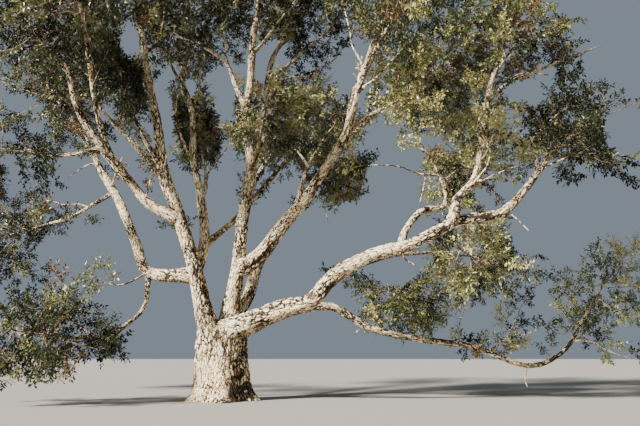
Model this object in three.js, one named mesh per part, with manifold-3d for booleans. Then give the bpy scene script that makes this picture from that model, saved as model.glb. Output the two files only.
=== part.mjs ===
// A large old spreading oak: one short bole that forks low into several pale stems,
// long boughs that reach out to both sides, and an open crown of separate leaf masses.
// Millimetres, +Z up. The origin is on the flat cut under the bole, at ground level.
// +X is the side of the long arching bough, and -Y is the side the tree is seen from.

import * as THREE from "three";
import { mergeVertices } from "three/addons/utils/BufferGeometryUtils.js";
import Module from "manifold-3d";

const wasm = await Module();
wasm.setup();

// Gap kept between two pieces that meet, and how far a piece is sunk in before it is cut back
const CLEARANCE = 0.35;
const SUNK = 40;

// The bole: height of the fork, radius, and the swelling of the root flare
const BOLE_HEIGHT = 3000;
const BOLE_SHOULDER = 2300;
const BOLE_RADIUS = 840;
const BOLE_TOP_SHARE = 0.45;
const BOLE_LEAN = -100;
const FLARE_SWELL = 430;
const FLARE_HEIGHT = 480;
const FLARE_LOBES = 5;
const FLARE_LOBE_DEPTH = 0.13;
const BOLE_SIDES = 16;
const BOLE_RINGS = 7;
const BOLE_RING_CROWDING = 1.2;

// A bough swells at its foot into a collar. A stout one has two rings of corners to each run,
// and a slim one has one.
const COLLAR_SWELL = 0.35;
const COLLAR_LENGTH = 3.2;
const FEWEST_RINGS = 2;
const STOUT_RADIUS = 280;
const STOUT_SIDES = 7;
const STOUT_RINGS = 2;
const SLIM_SIDES = 5;

// The growth rule of a leaf mass: a stem, twigs to all sides of it, and sprays of leaves on them
const ENTRY_SHARE = 0.9;
const STEM_SHARE = 0.5;
const STEM_STRAY = 0.1;
const STEM_RADIUS_SHARES = [0.85, 0.45];
const TWIGS = 6;
const TWIG_FOOT = 55;
const TWIG_TIP = 22;
const TWIG_SHORTEST = 250;
const TWIG_SPREAD_FIRST = 0.12;
const TWIG_SPREAD_LAST = 0.86;
const REACH_SHARE = 0.98;
const SPRAY_LENGTH_SHARE = 0.9;
const SPRAY_WIDTH_SHARE = 0.8;
const SPRAY_THICKNESS_SHARE = 0.36;
const SPRAY_WIDEST = 0.42;
const END_SUNK = 170;
const SIDE_SUNK = 12;
const SPRAY_DROOP = 0.15;
const SPRAY_ROLL = 1.1;
const SIDE_SPRAYS = [0.45, 0.85];
const SIDE_ANGLE = 62;
const SHORTENINGS = [1, 0.85, 0.7, 0.55];
const GOLDEN_ANGLE = Math.PI * (3 - Math.sqrt(5));
const FIRST_SEED = 4100;
const SEED_STEP = 977;

// Each bough: what it grows from and how far along that, its radius at foot and tip, and its runs
// as [length, heading, rise], with headings in degrees from +X towards +Y and rises from the level.
// Each has its leaf mass: the way its stem enters, and the half sizes of the space it keeps to.
const BOUGHS = {
  // Left half: the stem that rises from the left of the fork, and all that it carries
  left_stem: {
    from: "trunk", at: 0.61, foot: 330, tip: 100,
    runs: [[1200, 214, 58], [1700, 198, 74], [2100, 208, 72], [2300, 202, 68], [1700, 196, 80],
      [2000, 180, 76], [2100, 166, 78], [600, 170, 74]],
    mass: { heading: 170, rise: 75, half: [2900, 3600, 2300] },
  },
  left_bough: {
    from: "left_stem", at: 0.39, foot: 200, tip: 80,
    runs: [[1300, 192, 26], [1300, 200, 46], [1600, 202, 48], [1600, 200, 56], [1400, 206, 72],
      [500, 192, 62]],
    mass: { heading: 190, rise: 60, half: [2900, 3200, 2200] },
  },
  left_side_bough: {
    from: "left_bough", at: 0.49, foot: 85, tip: 50,
    runs: [[1200, 182, -14], [1000, 172, 0]],
    mass: { heading: 175, rise: 10, half: [3000, 3200, 1800] },
  },
  left_inner_bough: {
    from: "left_stem", at: 0.51, foot: 100, tip: 60,
    runs: [[900, 220, 50], [1100, 222, 56], [500, 230, 60]],
    mass: { heading: 230, rise: 60, half: [1600, 1800, 1400] },
  },
  inner_stem: {
    from: "left_stem", at: 0.27, foot: 200, tip: 85,
    runs: [[1400, 60, 70], [1900, 132, 76], [1800, 148, 74], [2100, 124, 80], [1800, 160, 70], [600, 34, 80]],
    mass: { heading: 35, rise: 80, half: [2600, 3300, 2100] },
  },
  inner_shoot: {
    from: "inner_stem", at: 0.32, foot: 90, tip: 60,
    runs: [[1100, 84, 58], [1800, 116, 62]],
    mass: { heading: 115, rise: 65, half: [1800, 2200, 1600] },
  },
  cross_bough: {
    from: "inner_stem", at: 0.14, foot: 120, tip: 70,
    runs: [[1900, 48, 40], [1900, 34, 50], [1700, 30, 52], [1000, 32, 52]],
    mass: { heading: 30, rise: 55, half: [2100, 2400, 1900] },
  },
  elbow_bough: {
    from: "left_stem", at: 0.26, foot: 240, tip: 90,
    runs: [[2200, 158, 6], [1500, 146, 54], [2200, 148, 58], [2300, 152, 52], [1800, 150, 54],
      [1600, 160, 50]],
    mass: { heading: 160, rise: 50, half: [3100, 3400, 2200] },
  },
  elbow_side_bough: {
    from: "elbow_bough", at: 0.55, foot: 85, tip: 50,
    runs: [[1600, 148, -16], [1400, 148, -14], [1600, 152, -6]],
    mass: { heading: 150, rise: -5, half: [3000, 3400, 2200] },
  },
  low_left_bough: {
    from: "elbow_bough", at: 0.17, foot: 100, tip: 60,
    runs: [[1500, 276, -70], [1200, 226, -44], [800, 232, -36]],
    mass: { heading: 210, rise: 5, half: [2400, 2600, 1500] },
  },
  // Middle: the upright stem and its boughs
  middle_stem: {
    from: "trunk", at: 0.61, foot: 310, tip: 100,
    runs: [[1600, 18, 80], [1900, 2, 82], [1900, 46, 86], [2200, 22, 82], [1800, 182, 78],
      [1600, 0, 82], [2100, 0, 88], [1200, 18, 84]],
    mass: { heading: 15, rise: 85, half: [3000, 3800, 2300] },
  },
  middle_front_bough: {
    from: "middle_stem", at: 0.48, foot: 100, tip: 70,
    runs: [[1000, 288, 18], [600, 288, 34]],
    mass: { heading: 285, rise: 35, half: [1800, 1900, 1600] },
  },
  middle_high_bough: {
    from: "middle_stem", at: 0.52, foot: 150, tip: 80,
    runs: [[1200, 46, 56], [2300, 92, 70], [2300, 72, 74], [1800, 34, 58]],
    mass: { heading: 35, rise: 60, half: [3000, 3600, 2300] },
  },
  // Right half: the leaning stem, the great arching bough and the low bough
  right_stem: {
    from: "middle_stem", at: 0.22, foot: 290, tip: 100,
    runs: [[1200, 336, 32], [1500, 342, 50], [1200, 342, 46], [1500, 338, 54], [1600, 340, 56],
      [1600, 332, 76], [1600, 342, 66], [1400, 350, 58]],
    mass: { heading: 350, rise: 60, half: [3000, 3400, 2200] },
  },
  right_inner_bough: {
    from: "right_stem", at: 0.46, foot: 75, tip: 50,
    runs: [[800, 50, 16]],
    mass: { heading: 40, rise: -5, half: [1600, 1900, 1200] },
  },
  right_side_bough: {
    from: "right_stem", at: 0.65, foot: 100, tip: 60,
    runs: [[1100, 36, 32], [1700, 36, 34]],
    mass: { heading: 35, rise: 35, half: [2600, 3000, 2300] },
  },
  arching_bough: {
    from: "trunk", at: 0.82, foot: 320, tip: 95,
    runs: [[2700, 332, 18], [1300, 336, 12], [1300, 336, 42], [1500, 342, 26], [1400, 348, 14],
      [1800, 346, 24], [1500, 352, 10], [1300, 6, 42], [1500, 18, 50]],
    mass: { heading: 20, rise: 40, half: [2600, 3200, 2300] },
  },
  arch_rising_bough: {
    from: "arching_bough", at: 0.53, foot: 140, tip: 80,
    runs: [[900, 58, 54], [1200, 36, 44], [1000, 28, 14], [1100, 58, 54]],
    mass: { heading: 55, rise: 50, half: [2800, 3200, 2500] },
  },
  arch_upright_bough: {
    from: "arching_bough", at: 0.66, foot: 160, tip: 80,
    runs: [[900, 58, 68], [1400, 30, 46], [1900, 50, 66], [2100, 46, 70], [1200, 32, 68]],
    mass: { heading: 30, rise: 65, half: [2800, 3400, 2200] },
  },
  arch_outer_bough: {
    from: "arch_upright_bough", at: 0.77, foot: 80, tip: 50,
    runs: [[1700, 26, 40], [1100, 18, 26], [1600, 16, 28]],
    mass: { heading: 15, rise: 25, half: [2200, 2400, 1500] },
  },
  arch_hanging_bough: {
    from: "arching_bough", at: 0.6, foot: 80, tip: 50,
    runs: [[1100, 36, -6]],
    mass: { heading: 45, rise: -15, half: [1900, 2200, 1500] },
  },
  low_right_bough: {
    from: "trunk", at: 0.7, foot: 200, tip: 65,
    runs: [[2000, 8, 26], [1300, 16, 20], [1400, 12, 4], [1700, 12, -28], [2100, 6, -12],
      [2100, 2, -8], [2400, 6, -18], [1600, 2, 20], [1700, 6, 52]],
    mass: { heading: 5, rise: 55, half: [2300, 3000, 1900] },
  },
  low_right_shoot: {
    from: "low_right_bough", at: 0.56, foot: 65, tip: 45,
    runs: [[600, 250, 72]],
    mass: { heading: 185, rise: 55, half: [2200, 2400, 1400] },
  },
  // Back and front: the boughs that fill the crown on the sides the main stems leave open
  back_left_bough: {
    from: "trunk", at: 0.7, foot: 260, tip: 90,
    runs: [[1900, 128, 44], [2300, 118, 50], [3000, 128, 54], [3100, 138, 54], [3300, 154, 46],
      [1700, 154, 42]],
    mass: { heading: 155, rise: 45, half: [4200, 4200, 3000] },
  },
  back_middle_bough: {
    from: "trunk", at: 0.76, foot: 240, tip: 90,
    runs: [[1900, 80, 48], [2800, 90, 56], [2900, 88, 54], [2400, 78, 56], [2100, 60, 50]],
    mass: { heading: 60, rise: 50, half: [4200, 4000, 3000] },
  },
  back_right_bough: {
    from: "trunk", at: 0.76, foot: 260, tip: 90,
    runs: [[2200, 58, 48], [2400, 72, 54], [3300, 52, 48], [4000, 42, 52], [3900, 28, 48], [1900, 18, 40]],
    mass: { heading: 20, rise: 40, half: [4200, 4200, 3000] },
  },
  back_low_bough: {
    from: "trunk", at: 0.66, foot: 200, tip: 70,
    runs: [[2400, 34, 34], [2000, 36, 20], [2400, 34, 32], [2800, 34, 20], [2400, 24, 8]],
    mass: { heading: 30, rise: 0, half: [3400, 3600, 2300] },
  },
  front_left_bough: {
    from: "left_bough", at: 0.33, foot: 100, tip: 70,
    runs: [[1500, 264, 16], [1600, 260, 42], [2500, 266, 58]],
    mass: { heading: 265, rise: 55, half: [3600, 3400, 2400] },
  },
  front_right_bough: {
    from: "right_stem", at: 0.65, foot: 100, tip: 70,
    runs: [[1400, 280, 26], [1800, 286, 36], [1000, 290, 36]],
    mass: { heading: 290, rise: 40, half: [3600, 3400, 2400] },
  },
};

// Finishes, as plain colours: pale plated bark, and leaves from sunlit olive to shade
const BARK = new THREE.MeshStandardMaterial({ color: "#cdbfa6", roughness: 0.9, metalness: 0 });
const LEAF_COLOURS = ["#7e8038", "#6b6d31", "#5c5e2a", "#8b8a3e"];
const LEAVES = LEAF_COLOURS.map(
  (color) => new THREE.MeshStandardMaterial({ color, roughness: 0.7, metalness: 0 }),
);

// A repeatable stream of numbers from 0 to 1
function seededNumbers(seed) {
  let state = seed;
  return () => {
    state = (state * 1664525 + 1013904223) % 4294967296;
    return state / 4294967296;
  };
}

// The direction with that heading and rise, in degrees
function direction(heading, rise) {
  const turn = THREE.MathUtils.degToRad(heading);
  const lift = THREE.MathUtils.degToRad(rise);
  return new THREE.Vector3(Math.cos(turn) * Math.cos(lift), Math.sin(turn) * Math.cos(lift), Math.sin(lift));
}

// A closed geometry as a solid that can be joined and cut
function toSolid(geometry) {
  geometry.deleteAttribute("normal");
  geometry.deleteAttribute("uv");
  const merged = mergeVertices(geometry);
  const vertProperties = new Float32Array(merged.attributes.position.array);
  const triVerts = new Uint32Array(merged.index.array);
  return new wasm.Manifold(new wasm.Mesh({ numProp: 3, vertProperties, triVerts }));
}

// A solid as a geometry for a mesh
function toGeometry(solid) {
  const { vertProperties, triVerts } = solid.getMesh();
  const geometry = new THREE.BufferGeometry();
  geometry.setAttribute("position", new THREE.BufferAttribute(vertProperties, 3));
  geometry.setIndex(new THREE.BufferAttribute(triVerts, 1));
  geometry.computeVertexNormals();
  return geometry;
}

// The largest closed body of a solid, without loose scraps and sealed hollows
function largestBody(solid) {
  const bodies = solid.decompose();
  return bodies.reduce((best, body) => (body.volume() > best.volume() ? body : best));
}

// Whether the boxes around two solids meet
function boxesMeet(first, second) {
  const a = first.boundingBox();
  const b = second.boundingBox();
  return [0, 1, 2].every((axis) => a.min[axis] <= b.max[axis] && b.min[axis] <= a.max[axis]);
}

// The middle line of the bole, which leans a little to the left on its way up
function boleLine() {
  const points = [0, 0.5, 1].map(
    (share) => new THREE.Vector3(BOLE_LEAN * share * share, 0, BOLE_HEIGHT * share),
  );
  return new THREE.CatmullRomCurve3(points, false, "catmullrom", 0.5);
}

// Radius of the bole at a height and an angle: a column, the lobed root flare that dies away
// upwards, and a shoulder that rounds the top over between the stems
function boleRadius(height, angle) {
  const fade = Math.exp(-height / FLARE_HEIGHT);
  const lobes = 1 + FLARE_LOBE_DEPTH * fade * Math.cos(FLARE_LOBES * angle);
  const column = (BOLE_RADIUS + FLARE_SWELL * fade) * lobes;
  const shoulder = Math.max(0, (height - BOLE_SHOULDER) / (BOLE_HEIGHT - BOLE_SHOULDER));
  return column * Math.sqrt(1 - (1 - BOLE_TOP_SHARE ** 2) * shoulder ** 2);
}

// The bole as level rings of corners, grown by a little where it is used to cut what meets it
function boleSolid(grow = 0) {
  const geometry = new THREE.CylinderGeometry(1, 1, 1, BOLE_SIDES, BOLE_RINGS);
  const places = geometry.attributes.position;
  for (let i = 0; i < places.count; i++) {
    const share = (places.getY(i) + 0.5) ** BOLE_RING_CROWDING;
    const height = BOLE_HEIGHT * share;
    const across = Math.hypot(places.getX(i), places.getZ(i));
    const angle = Math.atan2(-places.getZ(i), places.getX(i));
    const radius = across > 0 ? boleRadius(height, angle) + grow : 0;
    const rise = share > 0.999 ? grow : 0;
    places.setXYZ(
      i,
      BOLE_LEAN * share * share + radius * Math.cos(angle),
      radius * Math.sin(angle),
      height + rise,
    );
  }
  return toSolid(geometry);
}

// Places along a curve, each with its direction and two directions square to it that don't twist
function framesAlong(curve, rings) {
  const frames = [];
  const start = curve.getTangent(0);
  let normal = Math.abs(start.x) < 0.8 ? new THREE.Vector3(1, 0, 0) : new THREE.Vector3(0, 1, 0);
  for (let step = 0; step <= rings; step++) {
    const tangent = curve.getTangent(step / rings);
    normal = normal.clone().addScaledVector(tangent, -normal.dot(tangent)).normalize();
    const binormal = tangent.clone().cross(normal);
    frames.push({ point: curve.getPoint(step / rings), tangent, normal, binormal });
  }
  return frames;
}

// A capped cylinder bent along a curve, with a radius that follows the share of the way from the foot
function bentTube(curve, radiusAt, sides, rings, grow = 0) {
  const geometry = new THREE.CylinderGeometry(1, 1, 1, sides, rings);
  const frames = framesAlong(curve, rings);
  const places = geometry.attributes.position;
  for (let i = 0; i < places.count; i++) {
    const step = Math.round((places.getY(i) + 0.5) * rings);
    const frame = frames[step];
    const radius = radiusAt(step / rings) + grow;
    const beyond = (step === rings ? grow : 0) - (step === 0 ? grow : 0);
    const point = frame.point.clone();
    point.addScaledVector(frame.normal, places.getX(i) * radius);
    point.addScaledVector(frame.binormal, -places.getZ(i) * radius);
    point.addScaledVector(frame.tangent, beyond);
    places.setXYZ(i, point.x, point.y, point.z);
  }
  return toSolid(geometry);
}

// The middle line of a bough: its runs laid end to end from a place on what it grows from
function boughLine(bough, parentLine) {
  const points = [parentLine.getPoint(bough.at)];
  for (const [length, heading, rise] of bough.runs) {
    points.push(points.at(-1).clone().addScaledVector(direction(heading, rise), length));
  }
  return new THREE.CatmullRomCurve3(points, false, "catmullrom", 0.5);
}

// One tapering bough, with a collar at its foot
function boughSolid(bough, line, grow = 0) {
  const length = line.getLength();
  const isStout = bough.foot > STOUT_RADIUS;
  const taper = (share) => THREE.MathUtils.lerp(bough.foot, bough.tip, share);
  const fade = (share) => Math.exp((-share * length) / (COLLAR_LENGTH * bough.foot));
  const collar = (share) => bough.foot * COLLAR_SWELL * fade(share);
  const rings = Math.max(FEWEST_RINGS, bough.runs.length * (isStout ? STOUT_RINGS : 1));
  const sides = isStout ? STOUT_SIDES : SLIM_SIDES;
  return bentTube(line, (share) => taper(share) + collar(share), sides, rings, grow);
}

// The space of a leaf mass: an ellipsoid that its bough's tip just enters
function leafSpace(mass, tip) {
  const way = direction(mass.heading, mass.rise);
  const half = new THREE.Vector3(...mass.half);
  const reach = 1 / way.clone().divide(half).length();
  const centre = tip.clone().addScaledVector(way, ENTRY_SHARE * reach);
  return { way, half, reach, centre };
}

// How far out a point lies in a space, from 0 at its centre to 1 at its edge
function shareOut(space, point) {
  return point.clone().sub(space.centre).divide(space.half).length();
}

// Whether all the points lie in one space, and deeper in it than in any of the others
function keepsTo(space, others, points) {
  return points.every((point) => {
    const share = shareOut(space, point);
    return share <= 1 && others.every((other) => shareOut(other, point) > share);
  });
}

// Two directions square to the given one, the first as near level as can be, turned by a roll
function crossways(way, roll) {
  const level = new THREE.Vector3(-way.y, way.x, 0);
  if (level.length() < 0.05) {
    level.set(1, 0, 0);
  }
  level.normalize();
  const side = level.applyAxisAngle(way, roll);
  const top = way.clone().cross(side).normalize();
  return [side, top];
}

// One spray of leaves as a flat eight-faced blade that is widest a little before its middle
function spraySolid({ root, way, roll, length }) {
  const [side, top] = crossways(way, roll);
  const geometry = new THREE.OctahedronGeometry(1, 0);
  const places = geometry.attributes.position;
  for (let i = 0; i < places.count; i++) {
    const stretch = places.getX(i) > 0 ? 1 - SPRAY_WIDEST : SPRAY_WIDEST;
    const point = root.clone().addScaledVector(way, length * (SPRAY_WIDEST + places.getX(i) * stretch));
    point.addScaledVector(side, (places.getY(i) * length * SPRAY_WIDTH_SHARE) / 2);
    point.addScaledVector(top, (places.getZ(i) * length * SPRAY_THICKNESS_SHARE) / 2);
    places.setXYZ(i, point.x, point.y, point.z);
  }
  return toSolid(geometry);
}

// The corners of a spray that have to stay in the space of its mass
function sprayCorners({ root, way, roll, length }) {
  const [side] = crossways(way, roll);
  const middle = root.clone().addScaledVector(way, length * SPRAY_WIDEST);
  const half = (length * SPRAY_WIDTH_SHARE) / 2;
  return [
    root.clone().addScaledVector(way, length),
    middle.clone().addScaledVector(side, half),
    middle.clone().addScaledVector(side, -half),
  ];
}

// The growth rule: a stem through the space, twigs spread evenly to all sides of it, and on each
// twig one spray at the end and others at its sides, each with its own seeded turn and length
function growMass(space, tip, seed) {
  const random = seededNumbers(seed);
  const between = (low, high) => low + (high - low) * random();
  const meanHalf = (space.half.x + space.half.y + space.half.z) / 3;
  const sprayLength = meanHalf * SPRAY_LENGTH_SHARE;
  const stemEnd = space.centre.clone().addScaledVector(space.way, space.reach * STEM_SHARE);
  const stray = new THREE.Vector3(between(-1, 1), between(-1, 1), between(-1, 1));
  stemEnd.addScaledVector(stray, STEM_STRAY * meanHalf);
  const stem = new THREE.CatmullRomCurve3([tip, space.centre, stemEnd], false, "catmullrom", 0.5);
  const turn = between(0, 2 * Math.PI);
  const twigs = [];
  for (let i = 0; i < TWIGS; i++) {
    const height = 1 - (2 * i + 1) / TWIGS;
    const ring = Math.sqrt(1 - height * height);
    const angle = turn + i * GOLDEN_ANGLE;
    const outward = new THREE.Vector3(ring * Math.cos(angle), ring * Math.sin(angle), height);
    const far = space.centre.clone().add(outward.clone().multiply(space.half).multiplyScalar(REACH_SHARE));
    const along = (outward.dot(space.way) + 1) / 2;
    const foot = stem.getPoint(THREE.MathUtils.lerp(TWIG_SPREAD_FIRST, TWIG_SPREAD_LAST, along));
    const way = far.clone().sub(foot).normalize();
    const endLength = sprayLength * between(0.9, 1.1);
    const length = Math.max(TWIG_SHORTEST, far.distanceTo(foot) + END_SUNK - endLength);
    const end = foot.clone().addScaledVector(way, length);
    const endRoot = end.clone().addScaledVector(way, -END_SUNK);
    const sprays = [{ root: endRoot, way, roll: between(-SPRAY_ROLL, SPRAY_ROLL), length: endLength }];
    const spin = between(0, 2 * Math.PI);
    SIDE_SPRAYS.forEach((share, order) => {
      const [, top] = crossways(way, spin + order * Math.PI);
      const lean = way.clone().applyAxisAngle(top, THREE.MathUtils.degToRad(SIDE_ANGLE));
      lean.z -= SPRAY_DROOP;
      lean.normalize();
      const root = foot.clone().addScaledVector(way, length * share).addScaledVector(lean, -SIDE_SUNK);
      const roll = between(-SPRAY_ROLL, SPRAY_ROLL);
      sprays.push({ root, way: lean, roll, length: sprayLength * between(0.85, 1.05) });
    });
    twigs.push({ foot, end, sprays });
  }
  return { stem, twigs };
}

// The pieces of a mass fused into one solid. The stem is cut back from the tip of its bough, and a
// twig or spray that would leave the space, or touch a neighbour or another spray, is skipped.
function massSolid(space, others, growth, tipRadius, obstacles) {
  const near = obstacles.filter((solid) => boxesMeet(solid, spaceBox(space)));
  const placed = [];
  const isFree = (solid) => [...near, ...placed].every((other) => solid.intersect(other).isEmpty());
  const stemRadius = (share) => tipRadius * THREE.MathUtils.lerp(...STEM_RADIUS_SHARES, share);
  const stem = near.reduce((solid, other) => solid.subtract(other), bentTube(growth.stem, stemRadius, 3, 2));
  let mass = largestBody(stem);
  for (const twig of growth.twigs) {
    const line = new THREE.LineCurve3(twig.foot, twig.end);
    const twigSolid = bentTube(line, (share) => THREE.MathUtils.lerp(TWIG_FOOT, TWIG_TIP, share), 3, 1);
    if (!keepsTo(space, others, [twig.end]) || !isFree(twigSolid)) {
      continue;
    }
    mass = mass.add(twigSolid);
    for (const spray of twig.sprays) {
      const sizes = SHORTENINGS.map((share) => ({ ...spray, length: spray.length * share }));
      const fitting = sizes.find(
        (size) => keepsTo(space, others, sprayCorners(size)) && isFree(spraySolid(size)),
      );
      if (fitting) {
        mass = mass.add(spraySolid(fitting));
        placed.push(spraySolid(fitting));
      }
    }
  }
  return largestBody(mass);
}

// A box around a space, as a solid for quick tests
function spaceBox(space) {
  const geometry = new THREE.BoxGeometry(2 * space.half.x, 2 * space.half.y, 2 * space.half.z);
  geometry.translate(space.centre.x, space.centre.y, space.centre.z);
  return toSolid(geometry);
}

// A named mesh with its material
function namedMesh(name, solid, material) {
  const mesh = new THREE.Mesh(toGeometry(solid), material);
  mesh.name = name;
  return mesh;
}

const tree = new THREE.Group();
tree.add(namedMesh("trunk", boleSolid(), BARK));

// The boughs, each cut back by a small gap from all that came before it
const lines = { trunk: boleLine() };
const cutters = [boleSolid(CLEARANCE)];
for (const [name, bough] of Object.entries(BOUGHS)) {
  lines[name] = boughLine(bough, lines[bough.from]);
  let solid = boughSolid(bough, lines[name]);
  for (const cutter of cutters) {
    if (boxesMeet(solid, cutter)) {
      solid = solid.subtract(cutter);
    }
  }
  tree.add(namedMesh(name, largestBody(solid), BARK));
  cutters.push(boughSolid(bough, lines[name], CLEARANCE));
}

// The leaf masses, each in its own space at the tip of its bough
const tips = Object.keys(BOUGHS).map((name) => lines[name].getPoint(1));
const spaces = Object.values(BOUGHS).map((bough, index) => leafSpace(bough.mass, tips[index]));
const obstacles = [...cutters];
Object.entries(BOUGHS).forEach(([name, bough], index) => {
  const space = spaces[index];
  const others = spaces.filter((other) => other !== space);
  const start = tips[index].clone().addScaledVector(lines[name].getTangent(1), -SUNK);
  const growth = growMass(space, start, FIRST_SEED + SEED_STEP * index);
  const solid = massSolid(space, others, growth, bough.tip, obstacles);
  tree.add(namedMesh(`leaves_${name}`, solid, LEAVES[index % LEAVES.length]));
  obstacles.push(solid);
});

export default tree;
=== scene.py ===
"""A large old spreading oak: pale plated bark, finer limbs, twigs and leaves in place of the solids.

Metres, +Z up, the origin at ground level under the bole, and the tree seen from -Y.
"""

import math

import bpy
import numpy as np
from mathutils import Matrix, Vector


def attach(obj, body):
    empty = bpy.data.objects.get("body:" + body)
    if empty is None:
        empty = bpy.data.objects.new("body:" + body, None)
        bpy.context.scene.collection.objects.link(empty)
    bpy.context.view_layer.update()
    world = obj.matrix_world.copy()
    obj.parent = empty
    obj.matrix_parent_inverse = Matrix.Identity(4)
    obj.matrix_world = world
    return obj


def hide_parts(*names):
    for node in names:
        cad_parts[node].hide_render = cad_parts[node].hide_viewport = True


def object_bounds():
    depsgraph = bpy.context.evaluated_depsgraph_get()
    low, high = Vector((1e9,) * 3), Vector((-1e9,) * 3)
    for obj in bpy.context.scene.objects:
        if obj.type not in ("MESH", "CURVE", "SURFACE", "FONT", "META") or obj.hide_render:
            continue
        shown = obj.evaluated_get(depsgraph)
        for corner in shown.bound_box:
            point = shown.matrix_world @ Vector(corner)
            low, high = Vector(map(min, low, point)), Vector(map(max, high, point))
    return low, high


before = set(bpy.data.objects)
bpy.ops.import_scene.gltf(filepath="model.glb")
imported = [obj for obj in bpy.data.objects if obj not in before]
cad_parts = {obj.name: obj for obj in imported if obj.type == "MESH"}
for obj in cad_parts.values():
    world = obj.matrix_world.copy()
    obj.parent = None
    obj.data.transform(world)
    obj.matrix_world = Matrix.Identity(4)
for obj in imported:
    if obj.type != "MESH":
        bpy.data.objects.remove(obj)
cad_low, cad_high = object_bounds()

# The photo's frame and the camera that took it
PHOTO_WIDTH = 640
PHOTO_HEIGHT = 426
CAMERA_PLACE = (3.7, -24.3, 1.6)
CAMERA_PITCH = math.radians(13.0)
LENS_MM = 35.0
SENSOR_MM = 36.0
FOCAL_PIXELS = LENS_MM / SENSOR_MM * PHOTO_WIDTH
FARTHEST_SEEN = 1000

# The bole: height of the fork, radius, and the swelling of the root flare
BOLE_HEIGHT = 3.0
BOLE_SHOULDER = 2.3
BOLE_RADIUS = 0.84
BOLE_TOP_SHARE = 0.45
BOLE_LEAN = -0.1
FLARE_SWELL = 0.43
FLARE_HEIGHT = 0.48
FLARE_LOBES = 5
FLARE_LOBE_DEPTH = 0.13

# A limb swells into a collar where it leaves what it grows from, as shares of its radius at the foot
COLLAR_SWELL = 0.32
COLLAR_REACH = 2.0
FINER_COLLAR_SWELL = 0.6

# Inside its parent a limb is no thicker than this share of the parent's radius, and this much more for
# each metre that its line is away from the parent's
FOOT_SHARE = 0.88
FOOT_WIDENING = 0.4

# The growth rule of a leaf mass, as in the solids
ENTRY_SHARE = 0.9
STEM_SHARE = 0.5
STEM_STRAY = 0.1
STEM_SUNK = 0.04
TWIGS = 6
TWIG_SHORTEST = 0.25
TWIG_SPREAD = (0.12, 0.86)
REACH_SHARE = 0.98
SPRAY_LENGTH_SHARE = 0.9
END_SUNK = 0.17
SIDE_SUNK = 0.012
SPRAY_DROOP = 0.15
SPRAY_ROLL = 1.1
SIDE_SPRAYS = (0.45, 0.85)
SIDE_ANGLE = math.radians(62)
END_SPRAY_LENGTHS = (0.9, 1.1)
SIDE_SPRAY_LENGTHS = (0.85, 1.05)
NEAR_TIP = 0.995
GOLDEN_ANGLE = math.pi * (3 - math.sqrt(5))
FIRST_SEED = 4100
SEED_STEP = 977

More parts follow.
